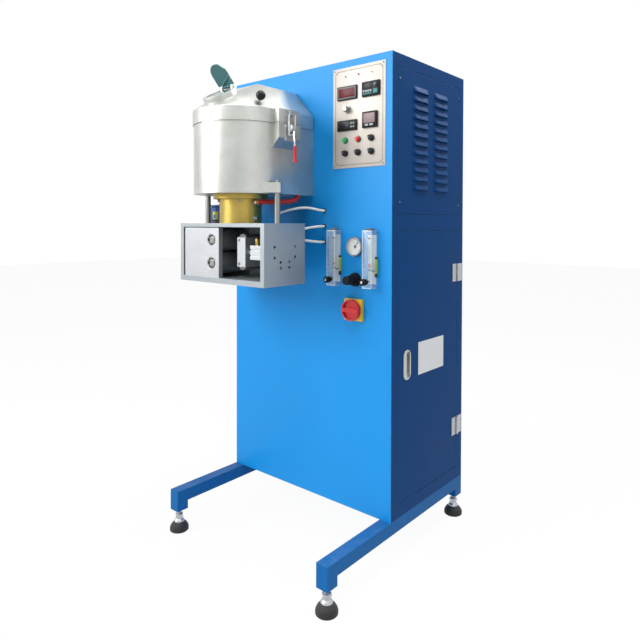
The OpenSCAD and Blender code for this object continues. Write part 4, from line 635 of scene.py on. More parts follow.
def buildWrapTree():
    t = Tree("threadWraps", {"Thread Radius": 0.008, "Thread Length": 0.01, "Thread Pitch": 0.0015,
        "Crest Radius": 0.0005})
    radius, length, pitch, wire = t.sizes
    spiral = t.out("GeometryNodeCurveSpiral", {"Resolution": 24, "Rotations": t.math("DIVIDE", length, pitch),
                                               "Start Radius": radius, "End Radius": radius, "Height": length})
    edge = t.out("GeometryNodeCurvePrimitiveCircle", {"Resolution": 6, "Radius": wire}, mode="RADIUS")
    return t.spread(t.out("GeometryNodeCurveToMesh", {"Curve": spiral, "Profile Curve": edge, "Fill Caps": True}))


def buildLouvreTree():
    t = Tree("louvreField", {"Louvre": None, "Rows": 12, "Row Pitch": 0.028, "Columns": 2, "Column Pitch": 0.13})
    scoop, rows, pitch, columns, apart = t.sizes
    copy = t.add("GeometryNodeObjectInfo", {"Object": scoop}, transform_space="ORIGINAL").outputs["Geometry"]
    field = copy
    for count, step in ((rows, t.xyz(Z=pitch)), (columns, t.xyz(Y=apart))):
        line = t.out("GeometryNodeMeshLine", {"Count": count, "Offset": step}, mode="OFFSET")
        field = t.out("GeometryNodeInstanceOnPoints", {"Points": line, "Instance": field})
    both = t.add("GeometryNodeJoinGeometry")
    for part in (field, t.points):
        t.put(both.inputs[0], part)
    return t.close(both.outputs[0])


screwTree, panTree, ribTree, tickTree = buildScrewTree(), buildPanTree(), buildRibTree(), buildTickTree()
hoseTree, wrapTree, louvreTree = buildHoseTree(), buildWrapTree(), buildLouvreTree()
print("geometry node trees:", len([g for g in bpy.data.node_groups if g.bl_idname == "GeometryNodeTree"]))

# the CAD parts whose shape is right keep it and get a finish
finishOf = (
    # the rails take the darker middle copy of the blue, which is painted shade
    (shadedRailPaint, "base_rails"),
    (bluePaint, "front_panel back_wrap deck_panels"),
    # the side sheets take the darker copy of the blue, which is painted shade
    (shadedSidePaint, "side_frame side_door vent_panel"),
    (blackRubber, "foot_pads grommets"),
    (zincSteel, "foot_studs face_screws clamp_base door_hinge_fixed door_hinge_moving"),
    (caseGrey, "generator"),
    (panelMetal, "panel_plate"),
    (lensGreen, "lamps"),
    (blackPlastic, "instruments regulator_body selector_1 selector_2 selector_3 selector_4 pot_knob "
     "keypad_knob flow_knob_left flow_knob_right regulator_knob gauge_needle"),
    (clearAcrylic, "flow_blocks"),
    (turnedBrass, "fittings cooler_housing"),
    (chromed, "gauge_case clamp_handle clamp_hook"),
    (yellowPlastic, "isolator_plate"),
    (castAluminium, "head_casing door_pull head_lid"),
    (refractory, "furnace_core"),
    (polishedSteel, "tie_rods"),
    (boxAluminium, "roller_box"),
    (milledAluminium, "bearing_blocks pinch_cylinder pinch_fork"),
    (motorBlue, "drive_motor"),
    (whitePlate, "door_plate"),
    (paneGlass, "sight_glass"),
    (glossBlack, "lid_knob"),
    (mirrorGlass, "sight_mirror"),
    (redPlastic, "isolator_handle red_button float_left float_right"),
    (greenPlastic, "green_button"),
    (rollerFace, "drive_roller_upper drive_roller_lower pinch_roller_upper pinch_roller_lower"),
)
for finish, names in finishOf:
    for name in names.split():
        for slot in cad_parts[name].material_slots:
            slot.material = finish
print("finished CAD parts:", sum(len(names.split()) for finish, names in finishOf))


# pressed louvres on the side panel: a sheet with cut-outs and one scoop that the tree repeats
louvres = {"y": (32, 426), "z": (1080, 1527), "sheet": 2, "firstZ": 1157, "rowPitch": 28, "rows": 12, "height": 19,
           "out": 8.9, "width": 96, "columns": (164.25, 293.75), "taper": 14, "wall": 1.1, "across": 36, "along": 10}


def louvreScoop(s):
    shape = bmesh.new()
    outer, inner = [], []
    for i in range(s["across"] + 1):
        y = (i / s["across"] - 0.5) * s["width"]
        near = min(1, (s["width"] / 2 - abs(y)) / s["taper"])
        rise = near ** 0.8
        outer.append([])
        inner.append([])
        for k in range(s["along"] + 1):
            v = k / s["along"]
            out = s["out"] * rise * (1 - v) * (1 - 0.12 * (1 - v) ** 8)
            point = at(sideFace + out, s["columns"][0] + y, s["firstZ"] + s["height"] * v)
            outer[-1].append(shape.verts.new(point))
            inner[-1].append(shape.verts.new(point - axisX * s["wall"] * mm))
    for grid in (outer, inner):
        for i in range(s["across"]):
            for k in range(s["along"]):
                shape.faces.new((grid[i][k], grid[i + 1][k], grid[i + 1][k + 1], grid[i][k + 1]))
    rim = ([(i, 0) for i in range(s["across"])] + [(s["across"], k) for k in range(s["along"])]
           + [(i, s["along"]) for i in range(s["across"], 0, -1)] + [(0, k) for k in range(s["along"], 0, -1)])
    for (i, k), (j, m) in zip(rim, rim[1:] + rim[:1]):
        shape.faces.new((outer[i][k], outer[j][m], inner[j][m], inner[i][k]))
    bmesh.ops.recalc_face_normals(shape, faces=shape.faces)
    return bpy.data.objects.new("louvreScoop", meshOf(shape, "louvreScoop"))


def louvreSheet(s):
    shape = bmesh.new()
    half = s["width"] / 2
    ys = sorted([s["y"][0], s["y"][1]] + [c + side * half for c in s["columns"] for side in (-1, 1)])
    zs = sorted([s["z"][0], s["z"][1]] + [s["firstZ"] + s["rowPitch"] * i + h for i in range(s["rows"]) for h in (0,
        s["height"])])
    spots = {}
    for depth in (sideFace, sideFace - s["sheet"]):
        for y in ys:
            for z in zs:
                spots[depth, y, z] = shape.verts.new(at(depth, y, z))
    solid = [[not (i in (1, 3) and k % 2 == 1) for k in range(len(zs) - 1)] for i in range(len(ys) - 1)]

    def filled(i, k):
        return 0 <= i < len(ys) - 1 and 0 <= k < len(zs) - 1 and solid[i][k]
    for i in range(len(ys) - 1):
        for k in range(len(zs) - 1):
            if not solid[i][k]:
                continue
            y0, y1, z0, z1 = ys[i], ys[i + 1], zs[k], zs[k + 1]
            for d in (sideFace, sideFace - s["sheet"]):
                shape.faces.new([spots[d, y, z] for y, z in ((y0, z0), (y1, z0), (y1, z1), (y0, z1))])
            for a, b, i2, k2 in (((y0, z0), (y1, z0), i, k - 1), ((y0, z1), (y1, z1), i, k + 1),
                                 ((y0, z0), (y0, z1), i - 1, k), ((y1, z0), (y1, z1), i + 1, k)):
                if not filled(i2, k2):
                    shape.faces.new((spots[sideFace, *a], spots[sideFace, *b], spots[sideFace - s["sheet"], *b],
                        spots[sideFace - s["sheet"], *a]))
    bmesh.ops.delete(shape, geom=[v for v in shape.verts if not v.link_faces], context="VERTS")
    bmesh.ops.recalc_face_normals(shape, faces=shape.faces)
    return meshOf(shape, "ventLouvres")


scoop = louvreScoop(louvres)
# the louvred sheet takes the darker side copy of the blue, which is painted shade
grow("ventLouvres", louvreSheet(louvres), louvreTree,
    {"Louvre": scoop, "Rows": louvres["rows"], "Row Pitch": louvres["rowPitch"] * mm, "Columns": 2,
    "Column Pitch": (louvres["columns"][1] - louvres["columns"][0]) * mm, "Finish": shadedSidePaint}, "frame",
    ("vent_panel",))
bpy.data.objects.remove(scoop)
print("made: louvres")

# screws: crossed pan heads on the sheets, socket heads on the roller box
heads = {"ventY": (40, 418), "ventZ": (1115, 1492), "panelX": (480, 670), "panelZ": (1232, 1537), "boxFace": 429.5,
         "sides": ((-45, 977.1), (45, 945.1), (-19, 930.1), (19, 913.1))}
scatter("panelScrews", [(at(x, -2, z), -axisY) for x in heads["panelX"] for z in heads["panelZ"]], panTree,
    {"Head Radius": 0.0032, "Head Height": 0.0014, "Slot Width": 0.0008, "Finish": darkSteel}, "frame",
    ("face_screws",))
scatter("ventScrews", [(at(sideFace, y, z), axisX) for y in heads["ventY"] for z in heads["ventZ"]], panTree,
        {"Head Radius": 0.004, "Head Height": 0.0021, "Slot Width": 0.001, "Finish": zincSteel})
scatter("boxScrews", [(at(heads["boxFace"], headAxis[1] + y, z), axisX) for y, z in heads["sides"]], screwTree,
    {"Head Radius": 0.0042, "Head Height": 0.0052, "Socket Radius": 0.0022, "Socket Depth": 0.003,
    "Finish": darkSteel})
print("made: screws")

# levelling feet: rubber bell, steel cup, lock nut and threaded stud
feet = {"spots": [(x, y) for x in (20, 680) for y in (-275, 437)], "nut": (46, 57), "studTop": 99.5, "stud": 7.2,
        "bell": [(0, 0), (29.5, 0), (31.4, 2), (31.5, 10), (30, 15), (25.5, 22.5), (20, 28), (17.5, 31), (0, 31)],
        "cup": [(0, 30.5), (17.2, 30.5), (17.2, 33), (14.5, 37.5), (11.5, 40), (10.5, 46), (0, 46)]}


def buildFeet(s):
    rubber, steel = bmesh.new(), bmesh.new()
    low, high = s["nut"]
    core = s["stud"] - 0.9
    for x, y in s["spots"]:
        place = at(x, y, 0)
        addTurned(rubber, place, axisZ, s["bell"], 64)
        addTurned(rubber, place, axisZ, s["cup"], 48, 1)
        addTurned(steel, place, axisZ,
            [(0, low), (12.2, low), (13.8, low + 1.2), (13.8, high - 1.2), (12.2, high), (0, high)], 6)
        addTurned(steel, place, axisZ, [(0, high - 1), (core, high - 1), (core, s["studTop"]), (0, s["studTop"])], 32)
    closeShape(rubber, "footBells", [blackRubber, zincSteel], "frame", ("foot_pads",))
    closeShape(steel, "footStuds", [zincSteel], "frame", ("foot_studs",))
    scatter("footThreads", [(at(x, y, high + 0.2), axisZ) for x, y in s["spots"]], wrapTree,
        {"Thread Radius": (s["stud"] - 0.8) * mm, "Thread Length": 0.0146, "Thread Pitch": 0.002,
        "Crest Radius": 0.0008, "Finish": zincSteel})


buildFeet(feet)

# crowned lid of the melting head, with its sight ring, knob stud, keeper shelf, hinge barrels and mirror lugs
lid = {"middle": headAxis, "radius": 153.5, "rear": -2, "low": 1360, "band": 1405, "top": 1493.6,
       "flat": (163, 307, -180), "wall": 3, "ring": 55, "window": 36, "seat": 42.4, "ringHigh": 17, "down": 103,
       "edge": 2.6, "steps": 36, "knob": (376, -232, 1438.5), "knobTurn": -17.7, "knobLean": 45, "knobSunk": 0.030,
       "latch": (((380, -192, 1360), (414, -95, 1405), 2.0, 3), ((413, -155, 1381), (423, -137, 1389), 1.0, 2),
                 ((420, -155, 1386), (423, -137, 1397), 1.0, 2)), "hinges": (-175.5, -56), "lug": 24.8}
slope = math.atan2(lid["top"] - lid["band"], lid["flat"][2] - lid["middle"][1] + lid["radius"])
slopeOut = Vector((0, -math.sin(slope), math.cos(slope)))
ringPlace = at(headAxis[0], lid["flat"][2] - lid["down"] * math.cos(slope),
    lid["top"] - lid["down"] * math.sin(slope))


def lidCrown(s):
    shape = bmesh.new()
    cx, cy = s["middle"]
    x0, x1, fy = s["flat"]
    plan = [(cx - s["radius"], s["rear"])] + [
        (cx + s["radius"] * math.cos(math.radians(180 + 180 * i / s["steps"])),
         cy + s["radius"] * math.sin(math.radians(180 + 180 * i / s["steps"]))) for i in range(s["steps"] + 1)]
    plan.append((cx + s["radius"], s["rear"]))
    low = [shape.verts.new(at(x, y, s["low"])) for x, y in plan]
    band = [shape.verts.new(at(x, y, s["band"])) for x, y in plan]
    top = {k: shape.verts.new(at(x, y, s["top"])) for k, (x, y) in
           {"rl": (x0, s["rear"]), "fl": (x0, fy), "fr": (x1, fy), "rr": (x1, s["rear"])}.items()}
    for i in range(len(plan) - 1):
        shape.faces.new((low[i], low[i + 1], band[i + 1], band[i]))
    middle = 1 + s["steps"] // 2
    shape.faces.new((band[0], band[1], top["fl"], top["rl"]))
    for i in range(1, middle):
        shape.faces.new((band[i], band[i + 1], top["fl"]))
    shape.faces.new((band[middle], top["fr"], top["fl"]))
    for i in range(middle, len(plan) - 2):
        shape.faces.new((band[i], band[i + 1], top["fr"]))
    shape.faces.new((band[-2], band[-1], top["rr"], top["fr"]))
    shape.faces.new((top["rl"], top["fl"], top["fr"], top["rr"]))
    shape.faces.new((low[0], band[0], top["rl"], top["rr"], band[-1], low[-1]))
    bmesh.ops.recalc_face_normals(shape, faces=shape.faces)
    if shape.faces[0].normal.x * (shape.faces[0].calc_center_median().x - at(cx, 0, 0).x) < 0:
        bmesh.ops.reverse_faces(shape, faces=shape.faces)
    rims = [e for e in shape.edges if len(e.link_faces) == 2 and e.calc_face_angle(0) > 0.35]
    bmesh.ops.bevel(shape, geom=rims, offset=s["edge"] * mm, segments=3, profile=0.5, affect="EDGES",
        clamp_overlap=True)
    crown = putIn("lidCrown", meshOf(shape, "lidCrown"))
    wall = crown.modifiers.new("wall", "SOLIDIFY")
    wall.thickness = s["wall"] * mm
    wall.offset = -1
    wall.use_even_offset = True
    drill = bmesh.new()
    addTurned(drill, ringPlace - slopeOut * 0.03, slopeOut, [(0, 0), (s["window"], 0), (s["window"], 60), (0, 60)],
        64)
    drillPiece = putIn("drill", meshOf(drill, "drill"))
    hole = crown.modifiers.new("hole", "BOOLEAN")
    hole.object = drillPiece
    hole.operation = "DIFFERENCE"
    hole.solver = "EXACT"
    bpy.context.view_layer.update()
    asMesh(crown)
    bpy.data.objects.remove(drillPiece)
    return crown


def buildLid(s):
    crown = lidCrown(s)
    shape = bmesh.new()
    shape.from_mesh(crown.data)
    bpy.data.objects.remove(crown)
    w, r, h = s["window"], s["ring"], s["ringHigh"]
    addTurned(shape, ringPlace, slopeOut,
        [(w, -13), (r, -13), (r, h - 2), (r - 0.6, h - 0.6), (r - 2, h), (s["seat"] + 1, h), (s["seat"], h - 0.8),
        (s["seat"], 9.8), (w, 9.8), (w, -13)], 96)
    # knob stud and its flange
    spin, tilt = Matrix.Rotation(math.radians(s["knobTurn"]), 3, "Z"), math.radians(s["knobLean"])
    lean = spin @ Vector((math.sin(tilt), 0, math.cos(tilt)))
    foot = at(*s["knob"]) - lean * s["knobSunk"]
    addTurned(shape, foot, lean, softProfile(9, 9, 1.5), 40)
    addTurned(shape, foot, lean, softProfile(5, 22, 0.8), 32)
    # bracket of the latch, the keeper shelf on it and its lip, then the barrels of the lid hinge
    for low, high, soft, steps in s["latch"]:
        addBlock(shape, low, high, soft, steps=steps)
    for y in s["hinges"]:
        addTurned(shape, at(75.4, y - 12, 1359.8), axisY, softProfile(5.5, 24, 0.7), 28)
        addBlock(shape, (76, y - 11.5, 1360.5), (83, y + 11.5, 1384), 0.8)
    # lugs of the mirror hinge
    for side in (-1, 1):
        x = headAxis[0] + side * s["lug"]
        addBlock(shape, (x - 4.5, -249.5, 1468), (x + 4.5, -239, 1487), 1.5, steps=3)
    closeShape(shape, "meltingLid", [castAluminium], "lid", ("head_lid",), sharp=30)


buildLid(lid)
print("made: lid")

# toggle clamp: lever with a dipped grip, on a base with two cheeks
clamp = {"pivot": (430, -146, 1342), "arm": 8, "gripLow": 1237, "plate": ((414, -168, 1304), (416.5, -124, 1354)),
    "screwFace": 416.4, "screwY": (-163, -129), "screwZ": (1310, 1348),
    "cheek": [(0, -13), (14, -13), (22.5, -5), (22.5, 6), (16, 13), (0, 13)],
    "lever": [(-7, 2), (-3, 6), (3, 6), (7, 2), (10.5, -26), (11, -62), (5, -62), (3.5, -28), (-10, -22),
        (-11, -16)],
    "grip": [(0, 0), (6.2, 0.3), (7, 1.4), (6.8, 3), (5.6, 5.5), (5.2, 12), (5.5, 26), (5.2, 40), (5.4, 48),
        (4.8, 50.6), (3.6, 51), (0, 51)]}


def buildClamp(s):
    x, y, z = s["pivot"]
    handle, base = bmesh.new(), bmesh.new()
    addPrism(handle, s["lever"], at(x, y + s["arm"] / 2, z), -axisY, axisX, s["arm"], 1.0)
    addTurned(handle, at(x, y + 9.7, z), -axisY, softProfile(4, 19.4, 0.8), 28)
    addTurned(handle, at(x + 8, y, s["gripLow"]), axisZ, s["grip"], 32, 1)
    closeShape(handle, "clampHandle", [chromed, gripRed], "latch_handle", ("clamp_handle",))
    low, high = s["plate"]
    addBlock(base, low, high, 0.6)
    for side in (-1, 1):
        addPrism(base, s["cheek"], at(low[0], y + max(side * 7, side * 10), z), -axisY, axisX, 3, 0.6)
        addTurned(base, at(x, y + side * 10.2, z), axisY * side, softProfile(5, 1.6, 0.6), 24)
    closeShape(base, "clampBase", [zincSteel], "frame", ("clamp_base",))
    scatter("clampScrews", [(at(s["screwFace"], y, z), axisX) for y in s["screwY"] for z in s["screwZ"]], panTree,
            {"Head Radius": 0.003, "Head Height": 0.0018, "Slot Width": 0.0008, "Finish": zincSteel})


buildClamp(clamp)
print("made: clamp")

# operating panel: plate with an engraved border, lamps, meters, controllers and bezels
# a block row: x from and to, z from and to, y at the back and the front, edge and slot
panel = {"x": (473, 677), "z": (1225, 1544), "thick": 2, "border": 9, "cut": 9, "line": 0.9, "lampZ": 1515.5,
    "columns": (524, 575, 626), "buttonZ": 1313, "selectorZ": 1271.7,
    "meter": ((492.3, 571.3, 1440.6, 1484.6, -2, -7, 1.6, 0), (495.5, 568, 1443.5, 1481.7, -6.8, -7.6, 0.4, 1),
        (499.5, 563.5, 1449, 1476.5, -7.4, -8.1, 0.3, 3)),
    "speedUnit": ((591.2, 658.2, 1440.5, 1486.5, -2, -8.2, 1.6, 0), (594, 655.5, 1443.2, 1483.8, -8, -9, 0.4, 0),
        (597, 631, 1464, 1481, -8.9, -9.5, 0.3, 2), (636, 652, 1446.5, 1460.5, -8.9, -10.2, 0.6, 4)),
    "left": ((493, 571, 1342.5, 1376.5, -2, -7.4, 1.4, 0), (495.5, 568.5, 1345, 1374, -7.2, -8, 0.4, 0),
        (503, 543.5, 1348, 1371, -7.9, -8.5, 0.3, 2)),
    "right": ((594.2, 649.2, 1344, 1394, -2, -10.2, 1.6, 0), (597, 646.4, 1346.8, 1391.2, -10, -11, 0.4, 0),
        (600.5, 643, 1358.5, 1388, -10.9, -11.4, 0.3, 7), (606, 619, 1349.5, 1355.5, -10.9, -12, 0.5, 5),
        (624, 637, 1349.5, 1355.5, -10.9, -12, 0.5, 5)),
    "bezel": [(9.2, 0), (10.5, 0), (10.5, 1.6), (10.0, 2.6), (9.2, 3.0), (7.4, 3.0), (7.2, 2.4), (7.2, 0),
        (9.2, 0)],
    "collar": [(7.0, 2.2), (8.8, 2.2), (8.8, 3.4), (8.4, 3.8), (7.4, 3.8), (7.0, 3.4), (7.0, 2.2)],
    "lampRing": [(5.5, 0), (5.5, 1.2), (5.0, 1.7), (4.3, 1.7), (4.2, 1.0), (4.2, 0), (5.5, 0)],
    "lampLens": [(0, 0), (4.1, 0), (4.1, 1.6), (3.8, 2.9), (3.0, 3.9), (1.6, 4.4), (0, 4.5)],
    "button": [(0, 0), (4, 0), (4, 6.4), (6.5, 6.6), (6.5, 17.4), (6.2, 18.4), (5.2, 19), (4.6, 19.2), (4.2, 18.8),
        (0, 18.6)],
    "dial": [(0, 0), (3, 0), (3, 9.4), (9.8, 9.4), (9.8, 13.6), (9.0, 14.8), (0, 15)], "bar": 8.8, "barTurn": -45}


def addRows(shape, rows):
    for x0, x1, z0, z1, back, front, soft, slot in rows:
        addBlock(shape, (x0, front, z0), (x1, back, z1), soft, slot)


def buildPlate(s):
    shape = bmesh.new()
    (x0, x1), (z0, z1) = s["x"], s["z"]
    addBlock(shape, (x0, -s["thick"], z0), (x1, 0, z1), 0.4)
    b, k, w = s["border"], s["cut"], s["line"]

    def ring(inset):
        a0, a1, b0, b1 = x0 + inset, x1 - inset, z0 + inset, z1 - inset
        return [(a0 + k, b0), (a1 - k, b0), (a1, b0 + k), (a1, b1 - k), (a1 - k, b1), (a0 + k, b1), (a0, b1 - k),
            (a0, b0 + k)]
    for inset, width in ((b, w), (b + 2.4, w * 0.45)):
        outer, inner = ring(inset), ring(inset + width)
        part = bmesh.new()
        rows = [[part.verts.new(at(x, y, z)) for x, z in line] for y,
            line in ((-s["thick"] - 0.12, outer), (-s["thick"] - 0.12, inner), (-s["thick"] + 0.1, inner),
            (-s["thick"] + 0.1, outer))]
        for i in range(8):
            j = (i + 1) % 8
            for r in range(4):
                part.faces.new((rows[r][i], rows[r][j], rows[(r + 1) % 4][j], rows[(r + 1) % 4][i]))
        bmesh.ops.recalc_face_normals(part, faces=part.faces)
        pour(shape, part, 1)
    closeShape(shape, "panelPlate", [panelMetal, engraved], "frame", ("panel_plate",))


def buildLamps(s):
    shape = bmesh.new()
    for slot, x in enumerate(s["columns"], 1):
        addTurned(shape, at(x, -2, s["lampZ"]), -axisY, s["lampRing"], 36)
        addTurned(shape, at(x, -2, s["lampZ"]), -axisY, s["lampLens"], 32, slot)
    closeShape(shape, "signalLamps", [chromed, lensGreen, lensRed, lensYellow], "frame", ("lamps",))


def buildInstruments(s):
    shape = bmesh.new()
    addRows(shape, s["meter"] + s["speedUnit"])
    # keys of the speed unit; the dial on it is the CAD knob
    addRows(shape, [(597 + i * 8.6, 603.6 + i * 8.6, 1446 + k * 8, 1451.8 + k * 8, -8.9, -10, 0.5, 5 if k else 4)
                    for i in range(4) for k in range(2)])
    addRows(shape, s["left"])
    for x, z in ((551, 1365), (560, 1365), (551, 1354), (560, 1354)):
        addTurned(shape, at(x, -7.9, z), -axisY, softProfile(2.8, 1.3, 0.4), 20, 5)
    addRows(shape, s["right"])
    # bezels of the buttons and selectors; the two buttons also have a coloured collar
    for i, (x, z) in enumerate([(x, s[key]) for key in ("buttonZ", "selectorZ") for x in s["columns"]]):
        addTurned(shape, at(x, -2, z), -axisY, s["bezel"], 44, 8)
        if i < 2:
            addTurned(shape, at(x, -2, z), -axisY, s["collar"], 40, 9 + i)
    closeShape(shape, "panelInstruments",
        [blackPlastic, greyPlastic, screenGlass, redScreen, tealKeys, paleKeys, whitePlate, roseScreen, darkSteel,
        greenPlastic, redPlastic], "frame", ("instruments",))


def buildButton(name, x, finish, body, node):
    shape = bmesh.new()
    addTurned(shape, at(x, 4, panel["buttonZ"]), -axisY, panel["button"], 40)
    closeShape(shape, name, [finish], body, (node,))


def buildSelector(name, x, z, body, node):
    shape = bmesh.new()
    addTurned(shape, at(x, 4, z), -axisY, panel["dial"], 40)
    out, turn, half = -axisY, math.radians(panel["barTurn"]), panel["bar"]
    across = Vector((math.cos(turn), 0, math.sin(turn)))
    addPrism(shape, [(-half, -2.4), (-half + 1.2, -2.7), (half - 1.2, -2.7), (half, -2.4), (half, 2.4),
        (half - 1.2, 2.7), (-half + 1.2, 2.7), (-half, 2.4)], at(x, -10.2, z), out, across, 6.4, 0.8, steps=3)
    addPrism(shape, [(-0.5, -7.6), (0.5, -7.6), (0.5, -1.2), (-0.5, -1.2)], at(x, -16.5, z), out, across.cross(out),
        0.2, 0, 1)
    closeShape(shape, name, [blackPlastic, paleKeys], body, (node,))


buildPlate(panel)
buildLamps(panel)
buildInstruments(panel)
buildButton("startButton", panel["columns"][0], greenPlastic, "start_button", "green_button")
buildButton("stopButton", panel["columns"][1], redPlastic, "stop_button", "red_button")
switches = [(panel["columns"][2], panel["buttonZ"])] + [(x, panel["selectorZ"]) for x in panel["columns"]]
for i, (x, z) in enumerate(switches, 1):
    buildSelector("selector" + str(i), x, z, "switch_" + str(i), "selector_" + str(i))
print("made: operating panel")


# knobs: ribs round each grip come from a tree, the body is turned
def buildKnob(name, node, body, place, profile, grip, ribs, tip=None, finish=blackPlastic):
    shape = bmesh.new()
    addTurned(shape, place, -axisY, profile, 56)
    if tip:
        addTurned(shape, place, -axisY, tip, 40, 1)
    closeShape(shape, name, [finish, chromed], body, (node,))
    radius, low, high = grip
    scatter(name + "Ribs", [(place - axisY * (low + high) / 2 * mm, -axisY)], ribTree,
        {"Ribs": ribs, "Ring Radius": radius * mm, "Rib Length": (high - low) * mm, "Rib Radius": 0.00055,
        "Finish": finish}, body)


buildKnob("potKnob", "pot_knob", "speed_knob", at(531, 6, 1411),
    [(0, 0), (3, 0), (3, 8.4), (13, 8.4), (13, 10.6), (12.4, 11.3), (9.6, 11.4), (9.3, 25), (8.8, 25.9),
    (7.8, 26.1), (0, 26.1)], (9.3, 11.8, 25), 30, None, polishedSteel)
buildKnob("speedDial", "keypad_knob", "keypad_dial", at(646.7, -2.4, 1473.1),
    [(0, 0), (2, 0), (2, 7.2), (5.0, 7.2), (4.8, 14), (4.4, 14.7), (0, 14.9)], (4.85, 7.6, 14), 18, None,
    greyPlastic)
for side, x in (("Left", 489.5), ("Right", 631)):
    buildKnob("flowKnob" + side, "flow_knob_" + side.lower(), "flow_valve_" + side.lower(), at(x, -34.2, 871),
        [(0, 0), (3, 0), (3, 4.4), (8.4, 4.4), (9.7, 6), (9.9, 20), (9.4, 24), (8.0, 25.4), (4.6, 25.8), (4.2, 25),
        (0, 25)], (9.85, 7, 22), 24, [(0, 24.6), (3.9, 24.6), (3.7, 25.9), (2.6, 26.1), (0, 26.1)])
buildKnob("regulatorKnob", "regulator_knob", "pressure_knob", at(565, -10.2, 872),
    [(0, 0), (6, 0), (6, 8.2), (13.6, 8.2), (13.9, 9.2), (13.9, 39), (13.2, 42), (11, 43.8), (0, 44)],
    (13.85, 10, 36), 36)
print("made: knobs")

# flow meters: clear block, measuring tube, edge strip, valve passage and scale lines
meters = {"columns": (489.5, 631), "wide": 35, "deep": 33, "low": 850, "high": 1028, "tubeY": -16.5, "valveZ": 871,
          "scale": (916, 1004), "steps": 16}


def buildFlowMeters(s):
    shape = bmesh.new()
    half, front, low, high = s["wide"] / 2, -s["deep"], s["low"], s["high"]
    for x in s["columns"]:
        x0, x1 = x - half, x + half
        addBlock(shape, (x0, front, low), (x1, 0, high), 1.2)
        addTurned(shape, at(x, s["tubeY"], 909), axisZ, [(0, 0), (6.2, 0), (6.2, 100), (0, 100)], 28, 1)
        # painted highlights: white strips along the block's edges stand for the light they catch; then dark outlines
        # of its bore
        for a in (x0 + 0.3, x1 - 1.7):
            addBlock(shape, (a, front + 0.3, low + 1), (a + 1.4, front + 1.3, high - 1), 0.2, 6)
        for a in (low + 0.4, high - 3):
            addBlock(shape, (x0 + 1, front + 0.3, a), (x1 - 1, front + 1.3, a + 2.4), 0.3, 6)
        for a in (x - 6.4, x + 5.6):
            addBlock(shape, (a, -16.9, 910), (a + 0.8, -16.1, 1004), 0.1, 2)
        for z in (905.5, 1001):
            addTurned(shape, at(x, s["tubeY"], z), axisZ, [(5.3, 0), (6.4, 0.6), (6.4, 3.4), (5.3, 4), (5.3, 0)],
                28, 2)
        # white plates behind the scale and the strip on the right side with its lines
        addBlock(shape, (x0 + 2, -3.4, 905), (x1 - 2, -2.2, 1014), 0, 4)
        addBlock(shape, (x0 + 3, -3.0, 862), (x1 - 3, -1.8, 900), 0, 4)
        for z0, z1, out, slot in ((896, 944, 0.4, 3), (884, 896, 0.4, 2), (940, 947, 0.45, 2)):
            addBlock(shape, (x1 - 0.1, -14, z0), (x1 + out, -1, z1), 0.1, slot)
        for k in range(5):
            addBlock(shape, (x1 + 0.3, -12.5, 902 + k * 7), (x1 + 0.6, -6.5, 903 + k * 7), 0, 2)
        # passage of the needle valve, seen through the block
        addTurned(shape, at(x, -25.4, s["valveZ"]), axisY, [(0, 0), (2.4, 0), (2.4, 10), (0, 12)], 20, 5)
        addTurned(shape, at(x, s["tubeY"], 874), axisZ, [(2.2, 0), (2.6, 0), (2.6, 30), (2.2, 30), (2.2, 0)], 20, 5)
    closeShape(shape, "flowMeters",
        [clearAcrylic, clearLens, blackRubber, stripYellow, scaleWhite, zincSteel, edgeHighlightWhite], "frame",
        ("flow_blocks",))


buildFlowMeters(meters)
spots = []
for x in meters["columns"]:
    for i in range(meters["steps"] + 1):
        z = meters["scale"][0] + (meters["scale"][1] - meters["scale"][0]) * i / meters["steps"]
        long = 1.6 if i % 4 == 0 else 1.0
        spots.append((at(x - 9.4 + (long - 1) * 1.6 - 1.6, -33.1, z), (0, 0, 0), (long, 1, 1)))
        spots.append((at(x + 11.5 - (long - 1) * 1.2, -33.1, z), (0, 0, 0), (long * 0.8, 1, 1)))
drawTicks("flowScales", spots, {"Tick Length": 0.0052, "Tick Width": 0.0003, "Tick Height": 0.0014})

# pressure gauge: white dial with ticks and numbers behind a lens
dial = {"centre": (565, 976), "radius": 25.6, "ticks": 41, "turn": (-225, 45),
    "numbers": ("0", "2", "4", "6", "8", "10"), "letter": 5.4, "letterRing": 15.6, "tickRing": 23.6}


